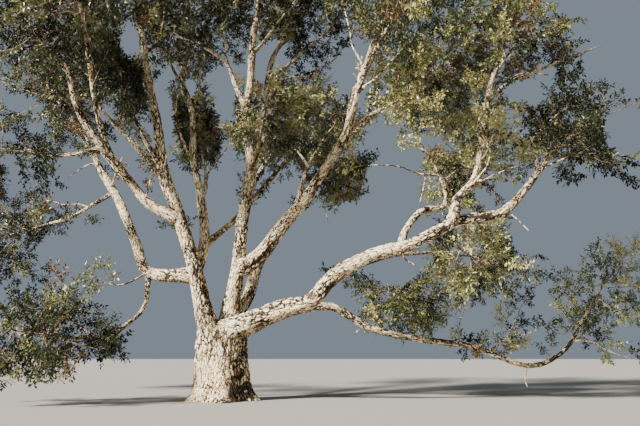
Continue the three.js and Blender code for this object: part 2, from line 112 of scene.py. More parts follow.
# Each bough: what it grows from and how far along that, its radius at foot and tip, and its runs
# as (length, heading, rise), with headings in degrees from +X towards +Y and rises from the level.
# Its leaf mass: the way its stem enters, the half sizes of its space, and how light its leaves are painted,
# as painted sun and shade.
BOUGHS = {
    "left_stem": ("trunk", 0.61, 0.33, 0.1,
        [(1.2, 214, 58), (1.7, 198, 74), (2.1, 208, 72), (2.3, 202, 68), (1.7, 196, 80), (2.0, 180, 76),
         (2.1, 166, 78), (0.6, 170, 74)],
        (170, 75), (2.9, 3.6, 2.3), 0.3),
    "left_bough": ("left_stem", 0.39, 0.2, 0.08,
        [(1.3, 192, 26), (1.3, 200, 46), (1.6, 202, 48), (1.6, 200, 56), (1.4, 206, 72), (0.5, 192, 62)],
        (190, 60), (2.9, 3.2, 2.2), 0.26),
    "left_side_bough": ("left_bough", 0.49, 0.085, 0.05,
        [(1.2, 182, -14), (1.0, 172, 0)],
        (175, 10), (3.0, 3.2, 1.8), 0.36),
    "left_inner_bough": ("left_stem", 0.51, 0.1, 0.06,
        [(0.9, 220, 50), (1.1, 222, 56), (0.5, 230, 60)],
        (230, 60), (1.6, 1.8, 1.4), 0.35),
    "inner_stem": ("left_stem", 0.27, 0.2, 0.085,
        [(1.4, 60, 70), (1.9, 132, 76), (1.8, 148, 74), (2.1, 124, 80), (1.8, 160, 70), (0.6, 34, 80)],
        (35, 80), (2.6, 3.3, 2.1), 0.55),
    "inner_shoot": ("inner_stem", 0.32, 0.09, 0.06,
        [(1.1, 84, 58), (1.8, 116, 62)],
        (115, 65), (1.8, 2.2, 1.6), 0.35),
    "cross_bough": ("inner_stem", 0.14, 0.12, 0.07,
        [(1.9, 48, 40), (1.9, 34, 50), (1.7, 30, 52), (1.0, 32, 52)],
        (30, 55), (2.1, 2.4, 1.9), 0.7),
    "elbow_bough": ("left_stem", 0.26, 0.24, 0.09,
        [(2.2, 158, 6), (1.5, 146, 54), (2.2, 148, 58), (2.3, 152, 52), (1.8, 150, 54), (1.6, 160, 50)],
        (160, 50), (3.1, 3.4, 2.2), 0.3),
    "elbow_side_bough": ("elbow_bough", 0.55, 0.085, 0.05,
        [(1.6, 148, -16), (1.4, 148, -14), (1.6, 152, -6)],
        (150, -5), (3.0, 3.4, 2.2), 0.36),
    "low_left_bough": ("elbow_bough", 0.17, 0.1, 0.06,
        [(1.5, 276, -70), (1.2, 226, -44), (0.8, 232, -36)],
        (210, 5), (2.4, 2.6, 1.5), 0.4),
    "middle_stem": ("trunk", 0.61, 0.31, 0.1,
        [(1.6, 18, 80), (1.9, 2, 82), (1.9, 46, 86), (2.2, 22, 82), (1.8, 182, 78), (1.6, 0, 82),
         (2.1, 0, 88), (1.2, 18, 84)],
        (15, 85), (3.0, 3.8, 2.3), 0.3),
    "middle_front_bough": ("middle_stem", 0.48, 0.1, 0.07,
        [(1.0, 288, 18), (0.6, 288, 34)],
        (285, 35), (1.8, 1.9, 1.6), 0.7),
    "middle_high_bough": ("middle_stem", 0.52, 0.15, 0.08,
        [(1.2, 46, 56), (2.3, 92, 70), (2.3, 72, 74), (1.8, 34, 58)],
        (35, 60), (3.0, 3.6, 2.3), 0.25),
    "right_stem": ("middle_stem", 0.22, 0.29, 0.1,
        [(1.2, 336, 32), (1.5, 342, 50), (1.2, 342, 46), (1.5, 338, 54), (1.6, 340, 56), (1.6, 332, 76),
         (1.6, 342, 66), (1.4, 350, 58)],
        (350, 60), (3.0, 3.4, 2.2), 0.38),
    "right_inner_bough": ("right_stem", 0.46, 0.075, 0.05,
        [(0.8, 50, 16)],
        (40, -5), (1.6, 1.9, 1.2), 0.35),
    "right_side_bough": ("right_stem", 0.65, 0.1, 0.06,
        [(1.1, 36, 32), (1.7, 36, 34)],
        (35, 35), (2.6, 3.0, 2.3), 0.8),
    "arching_bough": ("trunk", 0.82, 0.32, 0.095,
        [(2.7, 332, 18), (1.3, 336, 12), (1.3, 336, 42), (1.5, 342, 26), (1.4, 348, 14), (1.8, 346, 24),
         (1.5, 352, 10), (1.3, 6, 42), (1.5, 18, 50)],
        (20, 40), (2.6, 3.2, 2.3), 0.28),
    "arch_rising_bough": ("arching_bough", 0.53, 0.14, 0.08,
        [(0.9, 58, 54), (1.2, 36, 44), (1.0, 28, 14), (1.1, 58, 54)],
        (55, 50), (2.8, 3.2, 2.5), 0.75),
    "arch_upright_bough": ("arching_bough", 0.66, 0.16, 0.08,
        [(0.9, 58, 68), (1.4, 30, 46), (1.9, 50, 66), (2.1, 46, 70), (1.2, 32, 68)],
        (30, 65), (2.8, 3.4, 2.2), 0.7),
    "arch_outer_bough": ("arch_upright_bough", 0.77, 0.08, 0.05,
        [(1.7, 26, 40), (1.1, 18, 26), (1.6, 16, 28)],
        (15, 25), (2.2, 2.4, 1.5), 0.4),
    "arch_hanging_bough": ("arching_bough", 0.6, 0.08, 0.05,
        [(1.1, 36, -6)],
        (45, -15), (1.9, 2.2, 1.5), 0.7),
    "low_right_bough": ("trunk", 0.7, 0.2, 0.065,
        [(2.0, 8, 26), (1.3, 16, 20), (1.4, 12, 4), (1.7, 12, -28), (2.1, 6, -12), (2.1, 2, -8),
         (2.4, 6, -18), (1.6, 2, 20), (1.7, 6, 52)],
        (5, 55), (2.3, 3.0, 1.9), 0.6),
    "low_right_shoot": ("low_right_bough", 0.56, 0.065, 0.045,
        [(0.6, 250, 72)],
        (185, 55), (2.2, 2.4, 1.4), 0.6),
    "back_left_bough": ("trunk", 0.7, 0.26, 0.09,
        [(1.9, 128, 44), (2.3, 118, 50), (3.0, 128, 54), (3.1, 138, 54), (3.3, 154, 46), (1.7, 154, 42)],
        (155, 45), (4.2, 4.2, 3.0), 0.35),
    "back_middle_bough": ("trunk", 0.76, 0.24, 0.09,
        [(1.9, 80, 48), (2.8, 90, 56), (2.9, 88, 54), (2.4, 78, 56), (2.1, 60, 50)],
        (60, 50), (4.2, 4.0, 3.0), 0.35),
    "back_right_bough": ("trunk", 0.76, 0.26, 0.09,
        [(2.2, 58, 48), (2.4, 72, 54), (3.3, 52, 48), (4.0, 42, 52), (3.9, 28, 48), (1.9, 18, 40)],
        (20, 40), (4.2, 4.2, 3.0), 0.4),
    "back_low_bough": ("trunk", 0.66, 0.2, 0.07,
        [(2.4, 34, 34), (2.0, 36, 20), (2.4, 34, 32), (2.8, 34, 20), (2.4, 24, 8)],
        (30, 0), (3.4, 3.6, 2.3), 0.45),
    "front_left_bough": ("left_bough", 0.33, 0.1, 0.07,
        [(1.5, 264, 16), (1.6, 260, 42), (2.5, 266, 58)],
        (265, 55), (3.6, 3.4, 2.4), 0.4),
    "front_right_bough": ("right_stem", 0.65, 0.1, 0.07,
        [(1.4, 280, 26), (1.8, 286, 36), (1.0, 290, 36)],
        (290, 40), (3.6, 3.4, 2.4), 0.6),
}

# Finer limbs: what each grows from, its radius at foot and tip, and where it runs in the photo, as
# (pixel across, pixel down, metres behind its first place). The first place is on what it grows from.
FINER_LIMBS = {
    "left_top_fork": ("left_stem", 0.06, 0.02,
        [(150, 53, 0), (155, 44, 0.2), (163, 22, 0.5), (166, -12, 0.8)]),
    "left_bough_fork": ("left_bough", 0.055, 0.02,
        [(69, 71, 0), (51, 57, -0.2), (44, 46, -0.3), (34, 31, -0.5), (28, 12, -0.6)]),
    "left_bough_arm": ("left_bough_fork", 0.035, 0.015,
        [(43, 45, 0), (20, 48, -0.2), (0, 51, -0.3), (-24, 44, -0.3)]),
    "left_inner_rise": ("left_inner_bough", 0.05, 0.02,
        [(121, 86, 0), (117, 56, 0.1), (118, 30, 0.1), (116, 4, 0.2)]),
    "left_inner_twig": ("left_inner_bough", 0.035, 0.015,
        [(120, 80, 0), (107, 63, -0.2), (94, 36, -0.3), (90, 20, -0.3)]),
    "inner_left_fork": ("inner_stem", 0.07, 0.02,
        [(195, 100, 0), (185, 90, -0.1), (170, 63, -0.3), (168, 48, -0.3), (174, 35, -0.2), (176, 8, 0)]),
    "inner_right_fork": ("inner_stem", 0.055, 0.02,
        [(195, 100, 0), (199, 92, 0.1), (200, 65, 0.3), (204, 38, 0.5)]),
    "inner_low_fork": ("inner_stem", 0.06, 0.02,
        [(193, 165, 0), (181, 136, -0.4), (176, 112, -0.6), (178, 92, -0.7)]),
    "inner_shoot_arm": ("inner_shoot", 0.045, 0.015,
        [(204, 180, 0), (212, 166, -0.2), (225, 151, -0.4), (234, 130, -0.5)]),
    "elbow_low_twig": ("elbow_bough", 0.04, 0.015,
        [(146, 276, 0), (132, 281, -0.5), (120, 285, -0.8), (104, 283, -1.0)]),
    "elbow_link": ("elbow_bough", 0.06, 0.03,
        [(110, 188, 0), (114, 181, -0.5), (117, 171, -1.0), (122, 158, -1.6)]),
    "elbow_dead_twig": ("elbow_bough", 0.04, 0.008,
        [(103, 168, 0), (92, 164, -0.2), (79, 170, -0.3), (67, 178, -0.4)]),
    "elbow_side_fork": ("elbow_side_bough", 0.035, 0.012,
        [(88, 207, 0), (78, 204, 0.1), (66, 205, 0.2), (52, 201, 0.3)]),
    "low_left_arm": ("low_left_bough", 0.05, 0.02,
        [(98, 345, 0), (84, 330, -0.2), (73, 320, -0.3), (64, 300, -0.4)]),
    "low_left_reach": ("low_left_bough", 0.045, 0.015,
        [(104, 342, 0), (80, 336, 0.3), (50, 350, 0.5), (25, 358, 0.7)]),
    "middle_top_fork": ("middle_stem", 0.075, 0.025,
        [(255, 53, 0), (262, 44, 0.1), (273, 29, 0.2), (294, 2, 0.5), (308, -20, 0.7)]),
    "middle_left_arm": ("middle_stem", 0.11, 0.03,
        [(244, 106, 0), (236, 86, 0), (226, 63, -0.1), (204, 47, -0.3), (191, 41, -0.4), (168, 33, -0.5)]),
    "middle_left_twig": ("middle_left_arm", 0.045, 0.02,
        [(228, 66, 0), (225, 40, 0.2), (222, 18, 0.3), (221, -8, 0.4)]),
    "high_left_arm": ("middle_high_bough", 0.07, 0.025,
        [(271, 72, 0), (279, 45, -0.2), (285, 24, -0.3), (296, 0, -0.4)]),
    "high_right_arm": ("middle_high_bough", 0.08, 0.025,
        [(271, 80, 0), (287, 66, 0), (304, 51, 0.1), (320, 38, 0.1), (334, 24, 0.2), (357, 0, 0.3)]),
    "high_arm_twig": ("high_right_arm", 0.035, 0.015,
        [(303, 52, 0), (301, 38, 0.3), (298, 25, 0.5), (302, 8, 0.6)]),
    "high_low_arm": ("middle_high_bough", 0.055, 0.02,
        [(271, 84, 0), (290, 78, 0.2), (308, 76, 0.4), (322, 70, 0.5), (336, 58, 0.6)]),
    "high_low_stub": ("middle_high_bough", 0.05, 0.03,
        [(264, 138, 0), (272, 128, 0.3), (276, 112, 0.5), (288, 100, 0.7)]),
    "right_low_arm": ("right_stem", 0.11, 0.03,
        [(297, 208, 0), (302, 184, 0.2), (310, 163, 0.4), (320, 146, 0.6), (330, 130, 0.8)]),
    "right_low_twig": ("right_low_arm", 0.045, 0.015,
        [(308, 166, 0), (296, 150, 0.2), (284, 146, 0.3), (268, 152, 0.3)]),
    "right_top_twig": ("right_stem", 0.045, 0.015,
        [(360, 84, 0), (362, 66, 0.3), (352, 45, 0.5), (350, 31, 0.6), (343, 4, 0.8), (338, -14, 0.9)]),
    "right_outer_fork": ("right_stem", 0.06, 0.02,
        [(359, 94, 0), (368, 84, -0.2), (378, 76, -0.3), (394, 58, -0.5)]),
    "right_crown_fork": ("right_stem", 0.05, 0.02,
        [(384, 40, 0), (392, 20, -0.3), (398, 2, -0.5), (402, -20, -0.6)]),
    "right_hanging_twig": ("right_stem", 0.02, 0.006,
        [(318, 178, 0), (318, 196, -0.1), (324, 206, -0.2), (328, 222, -0.2)]),
    "arch_end_left": ("arching_bough", 0.055, 0.02,
        [(539, 172, 0), (536, 156, 0), (532, 141, 0), (545, 126, 0.1), (559, 113, 0.2)]),
    "arch_end_twig": ("arching_bough", 0.035, 0.012,
        [(541, 166, 0), (548, 150, -0.2), (556, 136, -0.3), (566, 132, -0.3)]),
    "arch_end_middle": ("arching_bough", 0.045, 0.015,
        [(542, 160, 0), (556, 148, 0.2), (570, 145, 0.3), (590, 150, 0.4)]),
    "arch_end_right": ("arching_bough", 0.045, 0.015,
        [(540, 170, 0), (556, 162, -0.2), (574, 156, -0.4), (598, 158, -0.6)]),
    "arch_dead_twig": ("arching_bough", 0.035, 0.008,
        [(500, 215, 0), (508, 213, -0.1), (517, 219, -0.1), (529, 231, -0.2)]),
    "arch_low_stub": ("arching_bough", 0.05, 0.02,
        [(398, 251, 0), (405, 259, -0.2), (415, 265, -0.3)]),
    "arch_burr": ("arching_bough", 0.17, 0.1,
        [(452, 228, 0), (455, 214, -0.3), (457, 202, -0.45)]),
    "rising_twig": ("arch_rising_bough", 0.05, 0.015,
        [(446, 192, 0), (448, 178, 0), (466, 163, 0.3), (482, 140, 0.5)]),
    "rising_pale_arm": ("arch_rising_bough", 0.05, 0.012,
        [(447, 186, 0), (440, 176, -0.2), (420, 174, -0.4), (401, 167, -0.6), (380, 165, -0.7),
         (360, 166, -0.8)]),
    "rising_hanging_twig": ("rising_pale_arm", 0.025, 0.008,
        [(426, 175, 0), (423, 190, -0.1), (419, 206, -0.1)]),
    "upright_left_fork": ("arch_upright_bough", 0.05, 0.02,
        [(502, 72, 0), (505, 58, 0), (501, 44, -0.1), (500, 30, -0.2), (504, 8, -0.3)]),
    "upright_right_fork": ("arch_upright_bough", 0.05, 0.02,
        [(503, 66, 0), (510, 52, 0.1), (520, 40, 0.2), (534, 35, 0.3), (556, 27, 0.5)]),
    "upright_low_arm": ("arch_upright_bough", 0.055, 0.02,
        [(493, 98, 0), (502, 88, 0), (515, 76, 0.1), (530, 73, 0.2), (548, 75, 0.3)]),
    "upright_front_arm": ("arch_upright_bough", 0.045, 0.015,
        [(476, 176, 0), (479, 164, -0.4), (483, 148, -0.7), (488, 128, -0.8), (496, 108, -0.9)]),
    "upright_front_fork": ("arch_upright_bough", 0.045, 0.015,
        [(480, 162, 0), (488, 150, -0.6), (485, 134, -0.9), (478, 118, -1.0), (474, 104, -1.0)]),
    "upright_low_front": ("arch_upright_bough", 0.045, 0.015,
        [(470, 190, 0), (478, 178, -0.5), (487, 166, -0.8), (490, 152, -1.0), (486, 140, -1.1)]),
    "upright_side_arm": ("arch_upright_bough", 0.045, 0.015,
        [(484, 150, 0), (496, 142, -0.2), (508, 132, -0.4), (518, 118, -0.5)]),
    "upright_base_arm": ("arch_upright_bough", 0.045, 0.015,
        [(474, 182, 0), (484, 180, -0.4), (496, 174, -0.7), (510, 168, -0.9)]),
    "rising_low_arm": ("arch_rising_bough", 0.045, 0.015,
        [(443, 196, 0), (436, 168, -0.2), (424, 148, -0.5), (410, 134, -0.7)]),
    "left_side_shoot": ("left_stem", 0.04, 0.012,
        [(166, 158, 0), (158, 146, -0.3), (150, 136, -0.5), (142, 132, -0.6)]),
    "left_front_shoot": ("left_stem", 0.04, 0.012,
        [(164, 172, 0), (166, 158, -0.5), (164, 146, -0.6), (160, 134, -0.6)]),
    "left_bough_shoot": ("left_bough", 0.03, 0.01,
        [(144, 200, 0), (147, 194, -0.3), (149, 187, -0.4), (150, 180, -0.4)]),
    "upright_crown_twig": ("upright_left_fork", 0.03, 0.01,
        [(501, 44, 0), (488, 30, 0.2), (480, 10, 0.3)]),
    "low_right_hanging": ("low_right_bough", 0.03, 0.008,
        [(528, 366, 0), (526, 374, -0.1), (525, 380, -0.2), (527, 386, -0.2)]),
    "low_right_small_shoot": ("low_right_bough", 0.04, 0.012,
        [(457, 346, 0), (459, 334, 0), (460, 322, 0.1), (464, 311, 0.2)]),
    "low_right_fan": ("low_right_bough", 0.045, 0.015,
        [(486, 354, 0), (496, 347, -0.1), (508, 339, -0.2), (532, 332, -0.3)]),
    "low_right_fan_twig": ("low_right_fan", 0.025, 0.008,
        [(508, 339, 0), (512, 327, 0), (518, 316, 0.1)]),
    "low_right_side": ("low_right_bough", 0.04, 0.012,
        [(578, 343, 0), (592, 342, -0.2), (606, 350, -0.3), (623, 356, -0.4)]),
    "low_right_end_fork": ("low_right_bough", 0.04, 0.015,
        [(574, 344, 0), (590, 333, 0.2), (606, 330, 0.3), (624, 320, 0.5)]),
}

# Limbs that show in front of the leaves in the photo: where the part that does begins and ends, as
# shares of the limb from its foot
SHOWN_LIMBS = [
    ("left_stem", 0, 0.46), ("left_stem", 0.62, 0.9), ("left_bough", 0, 0.2), ("left_bough", 0.34, 0.92),
    ("left_inner_bough", 0, 0.6), ("inner_stem", 0, 0.8), ("elbow_bough", 0, 0.7),
    ("middle_stem", 0, 0.54), ("middle_stem", 0.71, 0.86),
    ("middle_high_bough", 0, 0.22), ("middle_high_bough", 0.5, 0.8),
    ("middle_left_arm", 0, 0.6), ("right_stem", 0, 0.86), ("right_low_arm", 0, 0.6),
    ("arching_bough", 0, 1), ("arch_upright_bough", 0, 0.38), ("arch_upright_bough", 0.78, 0.95),
    ("arch_rising_bough", 0, 0.6), ("rising_pale_arm", 0, 0.9), ("upright_left_fork", 0, 0.6),
    ("upright_right_fork", 0, 0.8), ("arch_end_left", 0, 0.5), ("arch_end_middle", 0, 0.8),
    ("arch_end_right", 0, 0.8), ("low_right_bough", 0, 0.95), ("low_left_bough", 0, 0.8),
]

# At how many places such a part is looked at, and how many pixels wider than the limb it is kept free
SHOWN_STEPS = 60
SHOWN_MARGIN = 1.0

# Masses so thin in the photo that no twigs are filled in
THIN_MASSES = ("low_right_bough", "arch_hanging_bough")

# Places of open sky in the photo: pixel across, pixel down, and half sizes in pixels
SKY_GAPS = [
    (131, 40, 11, 17),
    (163, 116, 11, 46),
    (172, 70, 8, 8),
    (190, 88, 7, 10),
    (108, 112, 9, 12),
    (126, 149, 17, 12),
    (224, 92, 12, 32),
    (257, 70, 13, 13),
    (347, 68, 8, 10),
    (369, 50, 8, 8),
    (28, 106, 16, 8),
    (75, 172, 20, 14),
    (228, 168, 9, 30),
    (395, 195, 34, 42),
    (528, 92, 18, 10),
    (345, 235, 60, 30),
    (395, 268, 34, 16),
    (535, 225, 26, 30),
    (600, 205, 60, 22),
    (600, 4, 42, 15),
    (632, 42, 24, 20),
    (592, 68, 10, 14),
    (598, 48, 20, 10),
    (546, 72, 11, 9),
    (628, 128, 24, 26),
]

# How far the edges of the gaps wander, as a share of their size, and over how many metres
GAP_RAGGEDNESS = 1.5
GAP_EDGE_SIZE = 0.7


def direction(heading, rise):
    """The direction with that heading from +X towards +Y and that rise from the level, in degrees."""
    turn, lift = math.radians(heading), math.radians(rise)
    return np.array([math.cos(turn) * math.cos(lift), math.sin(turn) * math.cos(lift), math.sin(lift)])


def unit(ways):
    """Each row divided by its length."""
    ways = np.asarray(ways, float)
    return ways / np.maximum(np.linalg.norm(ways, axis=-1, keepdims=True), 1e-9)


def point_on(corners, shares):
    """Places on the smooth line through the corners: between two corners it is the cubic whose slope at
    each corner is half the step between that corner's neighbours, and the ends go on straight."""
    corners = np.asarray(corners, float)
    runs = len(corners) - 1
    beyond = np.vstack([2 * corners[0] - corners[1], corners, 2 * corners[-1] - corners[-2]])
    steps = np.clip(np.asarray(shares, float), 0, 1) * runs
    run = np.minimum(steps.astype(int), runs - 1)
    t = (steps - run)[..., None]
    a, b, c, d = beyond[run], beyond[run + 1], beyond[run + 2], beyond[run + 3]
    return 0.5 * (2 * b + (c - a) * t + (2 * a - 5 * b + 4 * c - d) * t**2 + (3 * b - a - 3 * c + d) * t**3)


def photo_pixel(places):
    """Where places in the world fall in the photo, as pixels across and down."""
    seen = np.asarray(places, float) - np.array(CAMERA_PLACE)
    ahead = seen[..., 1] * math.cos(CAMERA_PITCH) + seen[..., 2] * math.sin(CAMERA_PITCH)
    up = seen[..., 2] * math.cos(CAMERA_PITCH) - seen[..., 1] * math.sin(CAMERA_PITCH)
    across = PHOTO_WIDTH / 2 + FOCAL_PIXELS * seen[..., 0] / ahead
    down = PHOTO_HEIGHT / 2 - FOCAL_PIXELS * up / ahead
    return np.stack([across, down], axis=-1)


def place_at_depth(pixel, depth):
    """The place with that Y which is seen at that pixel of the photo."""
    right = (pixel[0] - PHOTO_WIDTH / 2) / FOCAL_PIXELS
    up = (PHOTO_HEIGHT / 2 - pixel[1]) / FOCAL_PIXELS
    sight = np.array([
        right,
        math.cos(CAMERA_PITCH) - up * math.sin(CAMERA_PITCH),
        math.sin(CAMERA_PITCH) + up * math.cos(CAMERA_PITCH),
    ])
    return np.array(CAMERA_PLACE) + sight * (depth - CAMERA_PLACE[1]) / sight[1]


# The stream of numbers that grew the solids: each state is the last one times a factor plus a step,
# and starts again past the end
STREAM_FACTOR = 1664525
STREAM_STEP = 1013904223
STREAM_END = 2**32


def seeded_numbers(seed):
    """A repeatable stream of numbers from 0 to 1, the same as the one that grew the solids."""
    state = seed
    while True:
        state = (state * STREAM_FACTOR + STREAM_STEP) % STREAM_END
        yield state / STREAM_END


# How a cell is turned into a random number, and the salts that keep patterns apart
CELL_WAVES = np.array([127.1, 311.7, 74.7])
SALT_WAVE = 53.3
SINE_HEIGHT = 43758.5453
PLATE_TONE_SALT = 7
GNARL_SALT = 11
WARP_SALT = 21
OPEN_SALT = 31
FURROW_SALT = 41
FILLING_SALT = 5
GAP_EDGE_SALT = 9


def scatter(cells, salt):
    """A repeatable number from 0 to 1 for each whole-number cell: the fraction of a large sine."""
    mixed = np.sin(cells @ CELL_WAVES + salt * SALT_WAVE) * SINE_HEIGHT
    return mixed - np.floor(mixed)


def rolling_noise(places, size, salt):
    """Smooth bumps from 0 to 1: random heights at the corners of a lattice, eased between them."""
    scaled = places / size
    cell = np.floor(scaled)
    ease = scaled - cell
    ease = ease * ease * (3 - 2 * ease)
    total = np.zeros(len(places))
    for corner in np.ndindex(2, 2, 2):
        share = np.prod(np.where(corner, ease, 1 - ease), axis=1)
        total += share * scatter(cell + np.array(corner), salt)
    return total


def plates(places, size, salt):
    """Bark plates as cells around scattered seeds. Returns how deep in a fissure each place is, from 0
    well inside a plate to 1 on the border of two, and a number for the plate that it lies on."""
    scaled = places / size
    cell = np.floor(scaled)
    nearest = np.full(len(places), np.inf)
    second = np.full(len(places), np.inf)
    tone = np.zeros(len(places))
    for step in np.ndindex(3, 3, 3):
        around = cell + np.array(step) - 1
        seed = around + np.stack([scatter(around, salt + k) for k in range(3)], axis=1)
        gap = np.linalg.norm(scaled - seed, axis=1)
        closer = gap < nearest
        second = np.where(closer, nearest, np.minimum(second, gap))
        tone = np.where(closer, scatter(around, salt + PLATE_TONE_SALT), tone)
        nearest = np.where(closer, gap, nearest)
    return 1 - np.clip((second - nearest) / BORDER_WIDTH, 0, 1), tone


def mesh_piece(name, corners, faces, attributes=None, smooth=True):
    """A mesh object at the origin from arrays: its corners, its faces of three or four sides, and what
    each corner carries."""
    mesh = bpy.data.meshes.new(name)
    faces = np.asarray(faces)
    sides = faces.shape[1]
    mesh.vertices.add(len(corners))
    mesh.vertices.foreach_set("co", np.asarray(corners, np.float32).ravel())
    mesh.loops.add(faces.size)
    mesh.loops.foreach_set("vertex_index", faces.astype(np.int32).ravel())
    mesh.polygons.add(len(faces))
    mesh.polygons.foreach_set("loop_start", np.arange(0, faces.size, sides, dtype=np.int32))
    mesh.polygons.foreach_set("loop_total", np.full(len(faces), sides, np.int32))
    mesh.polygons.foreach_set("use_smooth", np.full(len(faces), smooth))
    for key, values in (attributes or {}).items():
        kind, field = ("FLOAT_VECTOR", "vector") if np.ndim(values) == 2 else ("FLOAT", "value")
        carried = mesh.attributes.new(key, kind, "POINT")
        carried.data.foreach_set(field, np.asarray(values, np.float32).ravel())
    mesh.update(calc_edges=True)
    mesh.validate()
    piece = bpy.data.objects.new(name, mesh)
    bpy.context.scene.collection.objects.link(piece)
    return piece


# Lines of the limbs. A finer limb's root is looked for at this many places of its parent
ROOTING_PLACES = 400


def bole_line():
    """Corners of the bole's middle line, which leans a little to the left on its way up."""
    return np.array([[BOLE_LEAN * share**2, 0, BOLE_HEIGHT * share] for share in (0, 0.5, 1)])


def limb_lines():
    """Corners of the middle line of the bole and of every bough and finer limb. A finer limb starts at the
    place of its parent that is seen nearest to the first place of its route."""
    lines = {"trunk": bole_line()}
    for name, (parent, at, _, _, runs, _, _, _) in BOUGHS.items():
        corners = [point_on(lines[parent], at)]
        for length, heading, rise in runs:
            corners.append(corners[-1] + length * direction(heading, rise))
        lines[name] = np.array(corners)
    for name, (parent, _, _, route) in FINER_LIMBS.items():
        along = point_on(lines[parent], np.linspace(0, 1, ROOTING_PLACES))
        start = along[np.argmin(np.linalg.norm(photo_pixel(along) - route[0][:2], axis=1))]
        corners = [start] + [place_at_depth((u, v), start[1] + back) for u, v, back in route[1:]]
        lines[name] = np.array(corners)
    return lines


LINES = limb_lines()

# The fine grid of a limb's surface: its step, its fewest sides and rings, at how many places a limb's
# line and its parent's are read, and how much the radius at the foot counts in the limb's mean
GRID_STEP = 0.03
FINER_GRID_STEP = 0.045
FEWEST_SIDES = 8
FEWEST_RINGS = 6
LINE_PLACES = 600
PARENT_PLACES = 240
FOOT_WEIGHT = 0.65

# Bark plates: their size, how far and how often their borders wander, how wide and deep a border is,
# how far the highest plate stands out, in metres and at most as a share of the limb's radius, and how
# high the lowest one is as a share of it
PLATE_SIZE = np.array([0.12, 0.12, 0.32])
PLATE_WARP = 0.12
WARP_SIZE = np.array([0.17, 0.17, 0.3])
BORDER_WIDTH = 0.32
BORDER_DEPTH = 0.9
PLATE_RELIEF = 0.028
RELIEF_SHARE = 0.14
LOWEST_PLATE = 0.35

# Furrows along the limb: their size, sharpness and depth, and how far apart and how much they open
FURROW_SIZE = np.array([0.16, 0.16, 0.85])
FURROW_SHARPNESS = 8.0
FURROW_DEPTH = 0.9
OPEN_SIZE = np.array([0.4, 0.4, 0.7])
OPEN_SLOPE = 2.0
OPEN_START = -0.3
LEAST_OPEN = 0.35

# Gnarls: their size and the share of the radius that they swell it by
GNARLS = (np.array([0.55, 0.55, 0.95]), 0.24)

# How far apart in the patterns two limbs lie
PATTERN_SHIFT = 3.7

# The bole's bark is coarser, and its swellings run up into the stems
BOLE_BARK_SIZE = 1.3
BOLE_RELIEF = 0.045
BOLE_GNARLS = (np.array([0.75, 0.75, 2.6]), 0.42)

# The way to the sun. Bark colour is painted lighter on that side and darker on the other as painted shade,
# and is darker towards the bole's foot
SUNWARD = direction(216, 31)
SHADE_PAINT_EDGE = 0.35
SHADE_PAINT_SPAN = 0.9
FOOT_DARKNESS = 0.5


def grid_faces(rings, sides):
    """Four-sided faces between rings of corners, closed round the limb."""
    ring, side = np.meshgrid(np.arange(rings - 1), np.arange(sides), indexing="ij")
    after = (side + 1) % sides
    a = ring * sides + side
    b = ring * sides + after
    return np.stack([a, b, b + sides, a + sides], axis=-1).reshape(-1, 4)


def split_squares(faces):
    """Each four-sided face as two triangles."""
    return np.vstack([faces[:, [0, 1, 2]], faces[:, [0, 2, 3]]])


# A way that leans more than this along an axis is squared against another axis instead
NEARLY_ACROSS = 0.8
NEARLY_UPRIGHT = 0.9
SPUN_NEARLY_UPRIGHT = 0.95
LEAST_LEVEL = 0.05


def frames_along(places):
    """Two directions square to a line at each of its places, carried along it without twist."""
    ways = unit(np.gradient(places, axis=0))
    normal = np.array([1.0, 0, 0]) if abs(ways[0][0]) < NEARLY_ACROSS else np.array([0, 1.0, 0])
    normals = []
    for way in ways:
        normal = unit(normal - way * normal.dot(way))
        normals.append(normal)
    normals = np.array(normals)
    return normals, np.cross(ways, normals)


def barked(along, middle, radius, outward, salt, relief, size=1.0, gnarls=GNARLS):
    """Bark on a grid of rings: the radius is swollen by gnarls, raised on each plate and sunk in each
    fissure. Fissures are the borders of plates and long wavy furrows, where a slow noise crosses its
    middle, and both open and close along the limb. The finish reads how deep in a fissure each corner
    is, the tone of its plate, and its place on the straightened limb."""
    gnarl_size, gnarl_share = gnarls
    rings, sides = radius.shape
    angle = np.linspace(0, 2 * np.pi, sides, endpoint=False)
    straight = np.stack([
        radius * np.cos(angle),
        radius * np.sin(angle),
        np.broadcast_to(along[:, None], radius.shape),
    ], axis=-1).reshape(-1, 3) + salt * PATTERN_SHIFT
    warp = [rolling_noise(straight, WARP_SIZE * size, salt + WARP_SALT + k) - 0.5 for k in range(3)]
    warped = straight + PLATE_WARP * size * np.stack(warp, axis=1)
    border, tone = plates(warped, PLATE_SIZE * size, salt)
    slope = np.abs(rolling_noise(warped, FURROW_SIZE * size, salt + FURROW_SALT) - 0.5)
    furrow = np.clip(1 - FURROW_SHARPNESS * slope, 0, 1)
    opened = OPEN_SLOPE * rolling_noise(straight, OPEN_SIZE, salt + OPEN_SALT) + OPEN_START
    opened = np.clip(opened, LEAST_OPEN, 1)
    fissure = np.clip(np.maximum(BORDER_DEPTH * border, furrow) * opened, 0, 1)
    gnarl = rolling_noise(straight, gnarl_size, salt + GNARL_SALT) - 0.5
    plate = LOWEST_PLATE + (1 - LOWEST_PLATE) * tone
    lift = relief * plate * (1 - fissure**2) - relief * FURROW_DEPTH * fissure
    swollen = radius * (1 + gnarl_share * gnarl.reshape(radius.shape)) + lift.reshape(radius.shape)
    corners = middle[:, None, :] + outward * swollen[..., None]
    return corners.reshape(-1, 3), {"fissure": fissure, "plate_tone": tone, "limb_place": straight}


def painted_shade_side(outward):
    """How much painted shade bark takes for the way it faces, from 0 on the sunny side to 1 on the other."""
    return np.clip((SHADE_PAINT_EDGE - outward @ SUNWARD) / SHADE_PAINT_SPAN, 0, 1).ravel()


